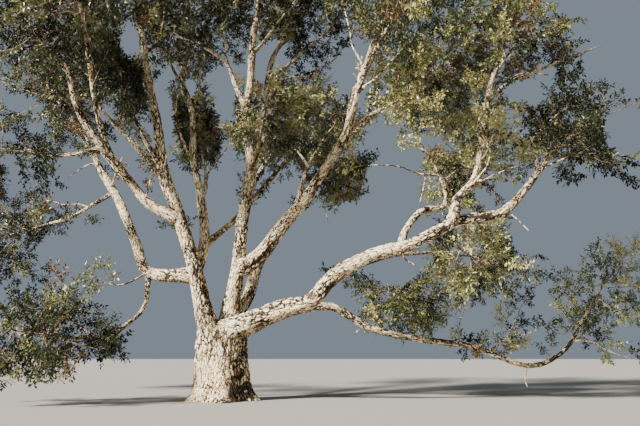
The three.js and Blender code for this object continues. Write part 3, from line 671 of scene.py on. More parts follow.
def closed_limb(corners, carried, rings, sides, foot, tip):
    """A limb's whole surface from its rings of corners: triangles between the rings, and at each end a
    middle corner with triangles round it, which carries what the first or the last corner does."""
    count = rings * sides
    side = np.arange(sides)
    after = (side + 1) % sides
    last = (rings - 1) * sides
    lower = np.stack([np.full(sides, count), after, side], axis=1)
    upper = np.stack([np.full(sides, count + 1), last + side, last + after], axis=1)
    triangles = np.vstack([split_squares(grid_faces(rings, sides)), lower, upper])
    carried = {key: np.concatenate([values, values[:1], values[-1:]]) for key, values in carried.items()}
    return np.vstack([corners, foot, tip]), triangles, carried


def bole_radius(height):
    """The bole's plain radius at each height, rounded over at the shoulder by a quarter ellipse."""
    rounding = np.clip((height - BOLE_SHOULDER) / (BOLE_HEIGHT - BOLE_SHOULDER), 0, 1)
    return BOLE_RADIUS * np.sqrt(1 - (1 - BOLE_TOP_SHARE**2) * rounding**2)


def limb_radii(name):
    """The plain radius of a bough or finer limb at its foot and at its tip."""
    return BOUGHS[name][2:4] if name in BOUGHS else FINER_LIMBS[name][1:3]


def radius_along(name, shares):
    """The plain radius of a bough or finer limb at those shares of its line."""
    foot, tip = limb_radii(name)
    return foot + (tip - foot) * shares


def gap_to_parent(name, places):
    """How far each place lies outside what the limb grows from, the least distance to the parent's line
    less the parent's radius there, and that radius."""
    parent = BOUGHS[name][0] if name in BOUGHS else FINER_LIMBS[name][0]
    shares = np.linspace(0, 1, PARENT_PLACES)
    line = point_on(LINES[parent], shares)
    radius = bole_radius(line[:, 2]) if parent == "trunk" else radius_along(parent, shares)
    gaps = np.linalg.norm(places[:, None] - line, axis=2) - radius
    return gaps.min(axis=1), radius[gaps.argmin(axis=1)]


def limb_surface(name, salt, step=GRID_STEP, collar_swell=COLLAR_SWELL):
    """One tapering limb: rings square to its line, with bark relief. A collar swells it by a share of its
    radius where it leaves its parent and dies away as the gap to the parent grows. Inside the parent it
    is narrow enough to stay sunk, and it widens as it comes out."""
    foot, tip = limb_radii(name)
    shares = np.linspace(0, 1, LINE_PLACES)
    line = point_on(LINES[name], shares)
    distance = np.concatenate([[0], np.cumsum(np.linalg.norm(np.diff(line, axis=0), axis=1))])
    length = distance[-1]
    rings = max(FEWEST_RINGS, int(length / step))
    along = np.linspace(0, length, rings)
    share = np.interp(along, distance, shares)
    middle = point_on(LINES[name], share)
    mean_radius = foot * FOOT_WEIGHT + tip * (1 - FOOT_WEIGHT)
    sides = max(FEWEST_SIDES, int(2 * np.pi * mean_radius / step))
    taper = radius_along(name, share)
    gap, parent_radius = gap_to_parent(name, middle)
    collar = taper * collar_swell * np.exp(-np.maximum(gap, 0) / (COLLAR_REACH * foot))
    widest = FOOT_SHARE * parent_radius + FOOT_WIDENING * (gap + parent_radius)
    radius = np.repeat(np.minimum(taper + collar, widest)[:, None], sides, axis=1)
    normal, binormal = frames_along(middle)
    angle = np.linspace(0, 2 * np.pi, sides, endpoint=False)
    outward = normal[:, None] * np.cos(angle)[:, None] + binormal[:, None] * np.sin(angle)[:, None]
    relief = np.minimum(PLATE_RELIEF, RELIEF_SHARE * taper.mean())
    corners, carried = barked(along, middle, radius, outward, salt, relief)
    # Painted shade: the bark colour is darker on the side that faces away from the sun
    carried["painted_shade_and_foot_dark"] = painted_shade_side(outward)
    return closed_limb(corners, carried, rings, sides, middle[0], 2 * middle[-1] - middle[-2])


def bole_surface(salt):
    """The bole: level rings from the flat cut to the fork, a lobed root flare that dies away upwards, and
    a shoulder that rounds over between the stems."""
    rings = int(BOLE_HEIGHT / GRID_STEP) + 1
    sides = int(2 * np.pi * BOLE_RADIUS / GRID_STEP)
    share = np.linspace(0, 1, rings)
    height = BOLE_HEIGHT * share
    angle = np.linspace(0, 2 * np.pi, sides, endpoint=False)
    fade = np.exp(-height / FLARE_HEIGHT)[:, None]
    lobes = 1 + FLARE_LOBE_DEPTH * fade * np.cos(FLARE_LOBES * angle)
    column = (BOLE_RADIUS + FLARE_SWELL * fade) * lobes
    radius = column * (bole_radius(height) / BOLE_RADIUS)[:, None]
    middle = np.stack([BOLE_LEAN * share**2, 0 * share, height], axis=1)
    outward = np.stack([np.cos(angle), np.sin(angle), 0 * angle], axis=1)[None]
    outward = np.broadcast_to(outward, (rings, sides, 3))
    corners, carried = barked(height, middle, radius, outward, salt, BOLE_RELIEF, BOLE_BARK_SIZE, BOLE_GNARLS)
    # Painted shade on the side away from the sun, and darker towards the bole's foot
    foot_darkness = FOOT_DARKNESS * np.repeat(1 - share, sides)
    carried["painted_shade_and_foot_dark"] = np.clip(painted_shade_side(outward) + foot_darkness, 0, 1)
    return closed_limb(corners, carried, rings, sides, middle[0], middle[-1])


def joined(surfaces):
    """Several surfaces as one: corners and faces laid end to end."""
    corners, faces, carried, count = [], [], [], 0
    for points, triangles, values in surfaces:
        corners.append(points)
        faces.append(triangles + count)
        carried.append(values)
        count += len(points)
    merged = {key: np.concatenate([values[key] for values in carried]) for key in carried[0]}
    return np.vstack(corners), np.vstack(faces), merged


# Growth of the leaf masses

def crossways(way, roll):
    """Two directions square to the given one, the first as near level as can be, turned by a roll."""
    level = np.array([-way[1], way[0], 0.0])
    level = unit(level) if np.linalg.norm(level) >= LEAST_LEVEL else np.array([1.0, 0, 0])
    side = level * math.cos(roll) + np.cross(way, level) * math.sin(roll)
    return side, unit(np.cross(way, side))


def turned(way, axis, angle):
    """The way turned about an axis that is square to it."""
    return way * math.cos(angle) + np.cross(axis, way) * math.sin(angle)


def leaf_space(name):
    """The space of a leaf mass: an ellipsoid that its bough's tip just enters."""
    _, _, _, _, _, (heading, rise), half, _ = BOUGHS[name]
    way, half = direction(heading, rise), np.array(half)
    reach = 1 / np.linalg.norm(way / half)
    return {"way": way, "half": half, "reach": reach, "centre": LINES[name][-1] + way * ENTRY_SHARE * reach}


def between(numbers, low, high):
    """The next of a stream of numbers, from low to high."""
    return low + (high - low) * next(numbers)


def twig_aim(space, stem, order, count, turn, reach):
    """Where one of a count of twigs leaves the stem, the way it grows, and how far from there its share
    of the space's reach is. Twigs are spread evenly to all sides by the golden angle."""
    height = 1 - (2 * order + 1) / count
    ring = math.sqrt(1 - height * height)
    angle = turn + order * GOLDEN_ANGLE
    outward = np.array([ring * math.cos(angle), ring * math.sin(angle), height])
    far = space["centre"] + outward * space["half"] * reach
    along = (outward.dot(space["way"]) + 1) / 2
    foot = point_on(stem, TWIG_SPREAD[0] + (TWIG_SPREAD[1] - TWIG_SPREAD[0]) * along)
    return foot, unit(far - foot), np.linalg.norm(far - foot)


def grow_mass(name, seed):
    """The solids' growth rule: a stem through the space, twigs spread evenly to all sides of it, and on
    each twig one spray at its end and others at its sides, with the same seeded turns and lengths. A
    spray is its root, its way, its roll and its length."""
    space = leaf_space(name)
    numbers = seeded_numbers(seed)
    spray_length = space["half"].mean() * SPRAY_LENGTH_SHARE
    stray = np.array([between(numbers, -1, 1) for _ in range(3)])
    stem_end = space["centre"] + space["way"] * space["reach"] * STEM_SHARE
    stem_end = stem_end + stray * STEM_STRAY * space["half"].mean()
    tip = LINES[name][-1]
    tangent = unit(tip - point_on(LINES[name], NEAR_TIP))
    stem = np.array([tip - tangent * STEM_SUNK, space["centre"], stem_end])
    turn = between(numbers, 0, 2 * math.pi)
    twigs, sprays = [], []
    for order in range(TWIGS):
        foot, aim, distance = twig_aim(space, stem, order, TWIGS, turn, REACH_SHARE)
        end_length = spray_length * between(numbers, *END_SPRAY_LENGTHS)
        length = max(TWIG_SHORTEST, distance + END_SUNK - end_length)
        end = foot + aim * length
        twigs.append((foot, end))
        sprays.append((end - aim * END_SUNK, aim, between(numbers, -SPRAY_ROLL, SPRAY_ROLL), end_length))
        spin = between(numbers, 0, 2 * math.pi)
        for side, share in enumerate(SIDE_SPRAYS):
            _, top = crossways(aim, spin + side * math.pi)
            lean = turned(aim, top, SIDE_ANGLE)
            lean[2] -= SPRAY_DROOP
            lean = unit(lean)
            root = foot + aim * length * share - lean * SIDE_SUNK
            roll = between(numbers, -SPRAY_ROLL, SPRAY_ROLL)
            sprays.append((root, lean, roll, spray_length * between(numbers, *SIDE_SPRAY_LENGTHS)))
    return space, stem, twigs, sprays


# More twigs between those of the solids: how many, how far they and their sprays reach, as shares of
# the space and of a spray's length, and how patchy they are
FILLING_TWIGS = 10
FILLING_REACH = (0.6, 1.05)
FILLING_SPRAYS = (0.35, 0.7)
FILLING_END_LENGTHS = (0.6, 0.9)
FILLING_SIDE_LENGTH = 0.75
FILLING_NOISE_SIZE = 1.5
FILLING_THRESHOLD = 0.46

# How a spray is cut short where its tip would leave the space
OVERREACH_START = 1.9
LEAST_SPRAY = 0.35
EDGE_SHARE = 1.12

# Boughlets along each spray: their length and its spread, how much it falls off towards the tip, how
# far up the spray the first and the last sit, how they lean, turn, flatten to the spray and rise
BOUGHLETS = 5
BOUGHLET_LENGTH = 0.55
BOUGHLET_LENGTHS = (0.7, 1.25)
BOUGHLET_TAPER = (1.15, 0.3)
FIRST_BOUGHLET = 0.22
LAST_BOUGHLET = 0.97
BOUGHLET_LEAN = math.radians(48)
END_BOUGHLET_LEAN = 0.15
BOUGHLET_TURN = 0.4
SPRAY_FLATNESS = 0.7
BOUGHLET_RISE = np.array([0, 0, 0.12])

# Sprigs up each boughlet, and their stalks
SPRIGS = 6
SPRIG_LENGTH = 0.3
SPRIG_LENGTHS = (0.7, 1.2)
FIRST_SPRIG = 0.3
SPRIG_LEAN = math.radians(50)
END_SPRIG_LEAN = 0.1
SPRIG_STRAY = 0.16
STALK_RADIUS = 0.006

# Leaves up each sprig
LEAVES_PER_SPRIG = 7
LEAF_LENGTH = 0.138
LEAF_LENGTHS = (0.72, 1.22)
LEAF_WIDTH_SHARE = 0.5
FIRST_LEAF = 0.15
LEAF_LEAN = math.radians(55)
END_LEAF_LEAN = 0.2
LEAF_STRAY = 0.22
LEAF_TILT = 0.5

# Stems, twigs, leaders of sprays and boughlets as tubes: radii at root and end, places along, sag and
# sides. Those of stems and twigs start from a share of their bough's tip.
STEM_TUBE = ((0.9, 0.4), 8, 6)
TWIG_TUBE = ((0.45, 0.022), 5, 0.03, 5)
LEADER_TUBE = ((0.02, 0.008), 4, 0.04, 4)
BOUGHLET_TUBE = ((0.010, 0.005), 3, 0.03, 3)
BOW_SHARE = 0.07

# Short leafy shoots along the outer part of the limbs
SHOOT_SPACING = 0.75
SHOOT_LENGTH = (0.45, 1.0)
SHOOT_LEAN = math.radians(52)
SHOOT_RISE = np.array([0, 0, 0.15])
END_SHOOT_LEAN = 0.1
SHOOT_BOUGHLETS = 3
SHOOTS_FROM = 0.45
FINER_SHOOTS_FROM = 0.2
JUST_AHEAD = 0.01
JUST_BEHIND = 0.02
LEAFLESS = ("dead", "stub", "burr", "hanging")

# How far the growth may stand out of the solids' box at each end of a side, how far it stays off the
# ground, and at how many places a twig is tested for it
ROOM_SHARE = 0.01
LOWEST_GROWTH = 0.3
DRAWN_PLACES = 9
ROOM_LOW = np.array(cad_low) - ROOM_SHARE * (np.array(cad_high) - np.array(cad_low))
ROOM_HIGH = np.array(cad_high) + ROOM_SHARE * (np.array(cad_high) - np.array(cad_low))
ROOM_LOW[2] = LOWEST_GROWTH


def filling_growth(space, stem, rng):
    """More twigs by the same rule, between those of the solids, each with its sprays. Whole patches of
    sprays are left out where a slow noise is low."""
    twigs, sprays = [], []
    spray_length = space["half"].mean() * SPRAY_LENGTH_SHARE
    turn = rng.uniform(0, 2 * np.pi)
    for order in range(FILLING_TWIGS):
        reach = rng.uniform(*FILLING_REACH)
        foot, aim, distance = twig_aim(space, stem, order, FILLING_TWIGS, turn, reach)
        end_length = spray_length * rng.uniform(*FILLING_END_LENGTHS)
        length = max(TWIG_SHORTEST, distance - end_length)
        end = foot + aim * length
        twigs.append((foot, end))
        sprays.append((end, aim, rng.uniform(-1, 1), end_length))
        spin = rng.uniform(0, 2 * np.pi)
        for side, share in enumerate(FILLING_SPRAYS):
            _, top = crossways(aim, spin + side * math.pi)
            lean = unit(turned(aim, top, SIDE_ANGLE))
            root = foot + aim * length * share
            sprays.append((root, lean, rng.uniform(-1, 1), spray_length * FILLING_SIDE_LENGTH))
    tips = np.array([root + way * length for root, way, _, length in sprays])
    leafy = rolling_noise(tips, FILLING_NOISE_SIZE, FILLING_SALT) > FILLING_THRESHOLD
    return twigs, [spray for spray, kept in zip(sprays, leafy) if kept]


def limb_shoots(name, start, rng):
    """Short leafy shoots up a limb from that share of it: each leans away from it to a seeded side, and
    the last goes on from its tip."""
    line = LINES[name]
    length = np.linalg.norm(np.diff(line, axis=0), axis=1).sum()
    count = max(1, int(length * (1 - start) / SHOOT_SPACING))
    shares = np.append(np.sort(rng.uniform(start, 1, count)), 1.0)
    roots = point_on(line, shares)
    ways = unit(point_on(line, shares + JUST_AHEAD) - point_on(line, shares - JUST_BEHIND))
    side, _ = crossways_of(ways, rng.uniform(0, 2 * np.pi, len(shares)))
    lean = np.where(shares < 1, SHOOT_LEAN, END_SHOOT_LEAN)[:, None]
    aims = unit(ways * np.cos(lean) + side * np.sin(lean) + SHOOT_RISE)
    lengths = rng.uniform(*SHOOT_LENGTH, len(shares))
    return list(zip(roots, aims, rng.uniform(-1, 1, len(shares)), lengths))


def bent(feet, ends, radii, places, sag, rng):
    """Lines from each foot to its end, bowed sideways by a seeded share of their length and sagging, and
    the radius at each place, from the first to the second number."""
    feet, ends = np.asarray(feet), np.asarray(ends)
    share = np.linspace(0, 1, places)
    length = np.linalg.norm(ends - feet, axis=1)
    bow = rng.normal(0, BOW_SHARE, (len(feet), 3)) * length[:, None]
    bow[:, 2] -= sag * length
    arch = 4 * share * (1 - share)
    line = feet[:, None] + (ends - feet)[:, None] * share[:, None] + bow[:, None] * arch[:, None]
    thick = np.asarray(radii[0])[..., None] * (1 - share) + np.asarray(radii[1])[..., None] * share
    return line, np.broadcast_to(thick, (len(feet), places))


def many_tubes(lines, radii, sides):
    """A thin closed tube round each of many lines of the same count of places, as corners and triangles."""
    count, places, _ = lines.shape
    ways = unit(np.gradient(lines, axis=1))
    upright = np.abs(ways[:, :1, 2:]) >= NEARLY_UPRIGHT
    helper = np.where(upright, [[[1.0, 0, 0]]], [[[0.0, 0, 1]]])
    normal = unit(np.cross(ways, helper))
    binormal = np.cross(ways, normal)
    angle = np.linspace(0, 2 * np.pi, sides, endpoint=False)
    ring = normal[:, :, None] * np.cos(angle)[:, None] + binormal[:, :, None] * np.sin(angle)[:, None]
    corners = lines[:, :, None] + ring * radii[:, :, None, None]
    last = (places - 1) * sides
    caps = [[0, k + 1, k] for k in range(1, sides - 1)]
    caps += [[last, last + k, last + k + 1] for k in range(1, sides - 1)]
    faces = np.vstack([split_squares(grid_faces(places, sides)), caps])
    offset = np.arange(count)[:, None, None] * places * sides
    return corners.reshape(-1, 3), (faces[None] + offset).reshape(-1, 3)


def thin_spikes(roots, tips, thickness):
    """A three-sided spike from each root to its tip, closed at the root."""
    ways = unit(tips - roots)
    helper = np.where(np.abs(ways[:, 2:]) < NEARLY_UPRIGHT, [[0.0, 0, 1]], [[1.0, 0, 0]])
    normal = unit(np.cross(ways, helper))
    binormal = np.cross(ways, normal)
    angle = np.array([0, 2, 4]) * np.pi / 3
    ring = normal[:, None] * np.cos(angle)[:, None] + binormal[:, None] * np.sin(angle)[:, None]
    corners = np.concatenate([roots[:, None] + ring * thickness, tips[:, None]], axis=1)
    faces = np.array([[0, 2, 1], [0, 1, 3], [1, 2, 3], [2, 0, 3]])
    offset = 4 * np.arange(len(roots))[:, None, None]
    return corners.reshape(-1, 3), (faces[None] + offset).reshape(-1, 3)


# A leaf's outline as shares of its length and half width, and how far its edges lift and its tip drops
LEAF_OUTLINE = np.array([(0, 0), (0.3, -0.92), (0.72, -0.8), (1, 0), (0.72, 0.8), (0.3, 0.92)])
LEAF_FOLD = 0.32
LEAF_CURL = 0.16


def leaf_corners(roots, ways, tops, lengths):
    """Each leaf as six corners folded along its midrib: its edges lift and its tip drops."""
    sides = unit(np.cross(tops, ways))
    faces_up = np.cross(ways, sides)
    along, out = LEAF_OUTLINE[:, 0], LEAF_OUTLINE[:, 1] * LEAF_WIDTH_SHARE / 2
    lift = np.abs(out) * LEAF_FOLD - LEAF_CURL * along**2
    shape = ways[:, None] * along[:, None] + sides[:, None] * out[:, None] + faces_up[:, None] * lift[:, None]
    return roots[:, None] + lengths[:, None, None] * shape


def leaf_faces(count):
    """Two four-sided faces for each of a count of leaves, one to each side of its midrib."""
    halves = np.array([[0, 1, 2, 3], [0, 3, 4, 5]])
    return (halves[None] + len(LEAF_OUTLINE) * np.arange(count)[:, None, None]).reshape(-1, 4)


def crossways_of(ways, spin):
    """For many ways at once, two directions square to each, turned by a spin."""
    helper = np.where(np.abs(ways[:, 2:]) < SPUN_NEARLY_UPRIGHT, [[0.0, 0, 1]], [[1.0, 0, 0]])
    level = unit(np.cross(helper, ways))
    top = np.cross(ways, level)
    side = level * np.cos(spin)[:, None] + top * np.sin(spin)[:, None]
    return side, np.cross(ways, side)


def in_sky_gap(places):
    """Whether each place lies in line with one of the photo's gaps of open sky, whose edges are ragged."""
    pixel = photo_pixel(places)
    ragged = 1 + GAP_RAGGEDNESS * (rolling_noise(places, GAP_EDGE_SIZE, GAP_EDGE_SALT) - 0.5)
    hidden = np.zeros(len(places), bool)
    for across, down, half_across, half_down in SKY_GAPS:
        reach = ((pixel[:, 0] - across) / half_across) ** 2 + ((pixel[:, 1] - down) / half_down) ** 2
        hidden |= reach < ragged
    return hidden


def shown_limbs():
    """Along each limb that shows in the photo: its pixels, its distances from the camera, and its half
    width in pixels."""
    shown = []
    for name, begin, end in SHOWN_LIMBS:
        shares = np.linspace(begin, end, SHOWN_STEPS)
        places = point_on(LINES[name], shares)
        distance = np.linalg.norm(places - np.array(CAMERA_PLACE), axis=1)
        half_width = FOCAL_PIXELS * radius_along(name, shares) / distance + SHOWN_MARGIN
        shown.append((photo_pixel(places), distance, half_width))
    return shown


SHOWN = shown_limbs()


def hides_limb(places):
    """Whether each place lies in front of a limb that shows in the photo."""
    pixel = photo_pixel(places)
    distance = np.linalg.norm(places - np.array(CAMERA_PLACE), axis=1)
    hides = np.zeros(len(places), bool)
    for limb_pixel, limb_distance, half_width in SHOWN:
        gap = np.linalg.norm(pixel[:, None] - limb_pixel, axis=2)
        nearest = gap.argmin(axis=1)
        hides |= (gap.min(axis=1) < half_width[nearest]) & (distance < limb_distance[nearest])
    return hides


def in_room(places):
    """Whether each place lies off the ground and near enough to the box of the solids."""
    return ((places > ROOM_LOW) & (places < ROOM_HIGH)).all(axis=1)


def drawn_back(feet, ends):
    """Ends drawn back along their lines to the last place that neither hides open sky nor leaves the
    room, and whether any of the line is left."""
    shares = np.linspace(0, 1, DRAWN_PLACES)
    places = feet[:, None] + (ends - feet)[:, None] * shares[:, None]
    flat = places.reshape(-1, 3)
    clear = (in_room(flat) & ~in_sky_gap(flat)).reshape(len(feet), -1)
    last = len(shares) - 1 - np.argmax(clear[:, ::-1], axis=1)
    return feet + (ends - feet) * shares[last][:, None], clear.any(axis=1) & (last > 0)


def grow_boughlets(roots, tips, ways, rolls, count, rng):
    """Boughlets to all sides of each spray's leader, flattened to the spray, with one that goes on from
    its tip. Returns where each starts and ends, and which spray it belongs to."""
    side, top = crossways_of(ways, rolls)
    feet, ends = [], []
    for k in range(count):
        share = FIRST_BOUGHLET + (1 - FIRST_BOUGHLET) * k / (count - 1)
        turn = k * GOLDEN_ANGLE + rng.uniform(-BOUGHLET_TURN, BOUGHLET_TURN, len(roots))
        across = side * np.cos(turn)[:, None] + top * np.sin(turn)[:, None] * SPRAY_FLATNESS
        lean = END_BOUGHLET_LEAN if k == count - 1 else BOUGHLET_LEAN
        way = unit(ways * math.cos(lean) + across * math.sin(lean) + BOUGHLET_RISE)
        size = BOUGHLET_LENGTH * rng.uniform(*BOUGHLET_LENGTHS, len(roots))
        size = size * (BOUGHLET_TAPER[0] - BOUGHLET_TAPER[1] * share)
        foot = roots + (tips - roots) * share * LAST_BOUGHLET
        feet.append(foot)
        ends.append(foot + way * size[:, None])
    return np.vstack(feet), np.vstack(ends), np.tile(np.arange(len(roots)), count)


def grow_sprigs(feet, ends, bow, rng):
    """Sprigs spiralling up each boughlet, which is bowed by that much at its middle, with one that goes
    on from its end. Returns where each starts and ends."""
    way = unit(ends - feet)
    spin = rng.uniform(0, 2 * np.pi, len(feet))
    roots, ways = [], []
    for k in range(SPRIGS):
        share = FIRST_SPRIG + (1 - FIRST_SPRIG) * k / (SPRIGS - 1)
        side, _ = crossways_of(way, spin + k * GOLDEN_ANGLE)
        lean = END_SPRIG_LEAN if k == SPRIGS - 1 else SPRIG_LEAN
        stray = rng.normal(0, SPRIG_STRAY, way.shape)
        ways.append(unit(way * math.cos(lean) + side * math.sin(lean) + stray))
        roots.append(feet + (ends - feet) * share + bow * (4 * share * (1 - share)))
    roots = np.vstack(roots)
    sizes = SPRIG_LENGTH * rng.uniform(*SPRIG_LENGTHS, len(roots))
    return roots, roots + np.vstack(ways) * sizes[:, None]


def grow_sprays(sprays, space, boughlet_count, rng):
    """Carries sprays to a leader, boughlets and sprigs. What leaves the space or the room, hides open sky
    or lies in front of a limb that shows is skipped."""
    roots, ways, rolls, lengths = (np.array(values) for values in zip(*sprays))
    if space:
        tips = roots + ways * lengths[:, None]
        over = np.linalg.norm((tips - space["centre"]) / space["half"], axis=1)
        lengths = np.where(over > 1, lengths * np.clip(OVERREACH_START - over, LEAST_SPRAY, 1), lengths)
    tips, grows = drawn_back(roots, roots + ways * lengths[:, None])
    grows &= ~in_sky_gap(roots)
    leaders = bent(roots[grows], tips[grows], *LEADER_TUBE[:3], rng)
    feet, ends, owner = grow_boughlets(roots, tips, ways, rolls, boughlet_count, rng)
    clear = grows[owner] & in_room(ends) & ~in_sky_gap(ends)
    if space:
        clear &= np.linalg.norm((ends - space["centre"]) / space["half"], axis=1) < EDGE_SHARE
    feet, ends, owner = feet[clear], ends[clear], owner[clear]
    boughlets = bent(feet, ends, *BOUGHLET_TUBE[:3], rng)
    sprig_roots, sprig_tips = grow_sprigs(feet, ends, boughlets[0][:, 1] - (feet + ends) / 2, rng)
    clear = ~in_sky_gap(sprig_tips) & in_room(sprig_tips) & ~hides_limb(sprig_tips) & ~hides_limb(sprig_roots)
    tubes = [(*leaders, LEADER_TUBE[3]), (*boughlets, BOUGHLET_TUBE[3])]
    return tubes, sprig_roots[clear], sprig_tips[clear], np.tile(owner, SPRIGS)[clear]


def grow_leaves(roots, tips, rng):
    """Leaves up each sprig in a spiral, leaning away from it with their faces up, and one at its tip.
    Returns their corners and which sprig each belongs to."""
    ways = unit(tips - roots)
    spin = rng.uniform(0, 2 * np.pi, len(roots))
    leaves = []
    for k in range(LEAVES_PER_SPRIG):
        share = FIRST_LEAF + (1 - FIRST_LEAF) * k / (LEAVES_PER_SPRIG - 1)
        side, _ = crossways_of(ways, spin + k * GOLDEN_ANGLE)
        lean = END_LEAF_LEAN if k == LEAVES_PER_SPRIG - 1 else LEAF_LEAN
        stray = rng.normal(0, LEAF_STRAY, ways.shape)
        way = unit(ways * math.cos(lean) + side * math.sin(lean) + stray)
        top = unit(np.array([0, 0, 1.0]) + rng.normal(0, LEAF_TILT, ways.shape))
        length = LEAF_LENGTH * rng.uniform(*LEAF_LENGTHS, len(roots))
        leaves.append(leaf_corners(roots + (tips - roots) * share, way, top, length))
    return np.concatenate(leaves), np.tile(np.arange(len(roots)), LEAVES_PER_SPRIG)


# Finishes

def linear(hex_colour):
    """An sRGB hex colour as linear red, green, blue and full alpha."""
    channels = [int(hex_colour[k:k + 2], 16) / 255 for k in (1, 3, 5)]
    return [c / 12.92 if c <= 0.04045 else ((c + 0.055) / 1.055) ** 2.4 for c in channels] + [1.0]


# Which sockets of a mix node are its two colours and its result
MIX_FIRST = 6
MIX_SECOND = 7
MIX_COLOUR = 2


def add_node(material, kind, settings=None, inputs=None):
    """Adds a shader node, sets its properties, and sets or links its inputs."""
    tree = material.node_tree
    node = tree.nodes.new(kind)
    for key, value in (settings or {}).items():
        setattr(node, key, value)
    for key, value in (inputs or {}).items():
        if isinstance(value, bpy.types.NodeSocket):
            tree.links.new(value, node.inputs[key])
        else:
            node.inputs[key].default_value = value
    return node


def new_material(name, roughness, specular):
    """A material whose shader has its even values on its own sockets."""
    material = bpy.data.materials.new(name)
    material.use_nodes = True
    shader = material.node_tree.nodes["Principled BSDF"]
    shader.inputs["Roughness"].default_value = roughness
    shader.inputs["Specular IOR Level"].default_value = specular
    return material, shader


def ramp(material, factor, stops):
    """A colour ramp through (position, hex colour) stops."""
    node = add_node(material, "ShaderNodeValToRGB", inputs={"Fac": factor})
    elements = node.color_ramp.elements
    while len(elements) < len(stops):
        elements.new(0.5)
    for element, (position, colour) in zip(elements, stops):
        element.position = position
        element.color = linear(colour)
    return node.outputs["Color"]


# Sizes on the bark: small corky scales and how far apart their borders wander, flecks, grain, broad
# stains and moss, and how much all but the last three are stretched along the limb
SCALE_MM = 74
WANDER_MM = 110
FLECK_MM = 48
GRAIN_MM = 20
STAIN_MM = 900
MOSS_MM = 250
STRETCH = (1, 1, 0.34)
WANDER_REACH = (0.09, 0.09, 0.09)

# How light a place is: the contrast and start of the flecks, and what its scale, its plate and the stains
# add, and the painted shade on the side away from the sun and the darkening towards the bole's foot take away
FLECK_CONTRAST = 2.5
FLECK_START = -1.15
SCALE_SHARE = 0.78
PLATE_SHARE = 0.25
STAIN_SHARE = 0.5
PAINTED_SHADE_SHARE = -0.36

# Plates from stained to bleached, and the cracks between them: the least and most distance to a
# scale's border that counts and what it adds, how much grain frays a crack, and where one starts and ends
PLATE_COLOURS = [
    (0.0, "#3C2A1C"), (0.16, "#6D5037"), (0.3, "#A78760"),
    (0.44, "#CFB07F"), (0.62, "#F3D7A8"), (0.95, "#FFF0CC"),
]
FISSURE_COLOUR = "#2A2019"
SEAM_EDGE = (0.02, 0.15)
SEAM_DEPTH = (0.5, -0.1)
CRACK_FRAYING = 1.1
CRACK_EDGE = (0.78, 1.28)
BUMP_STRENGTH = 0.8
BUMP_METRES = 0.025

MOSS_COLOUR = "#77683A"
MOSS_EDGE = (0.44, 0.6)
MOSS_COVER = 0.85

# Mottling of twigs and leaves
TWIG_MOTTLE_MM = 120
LEAF_MOTTLE_MM = 160


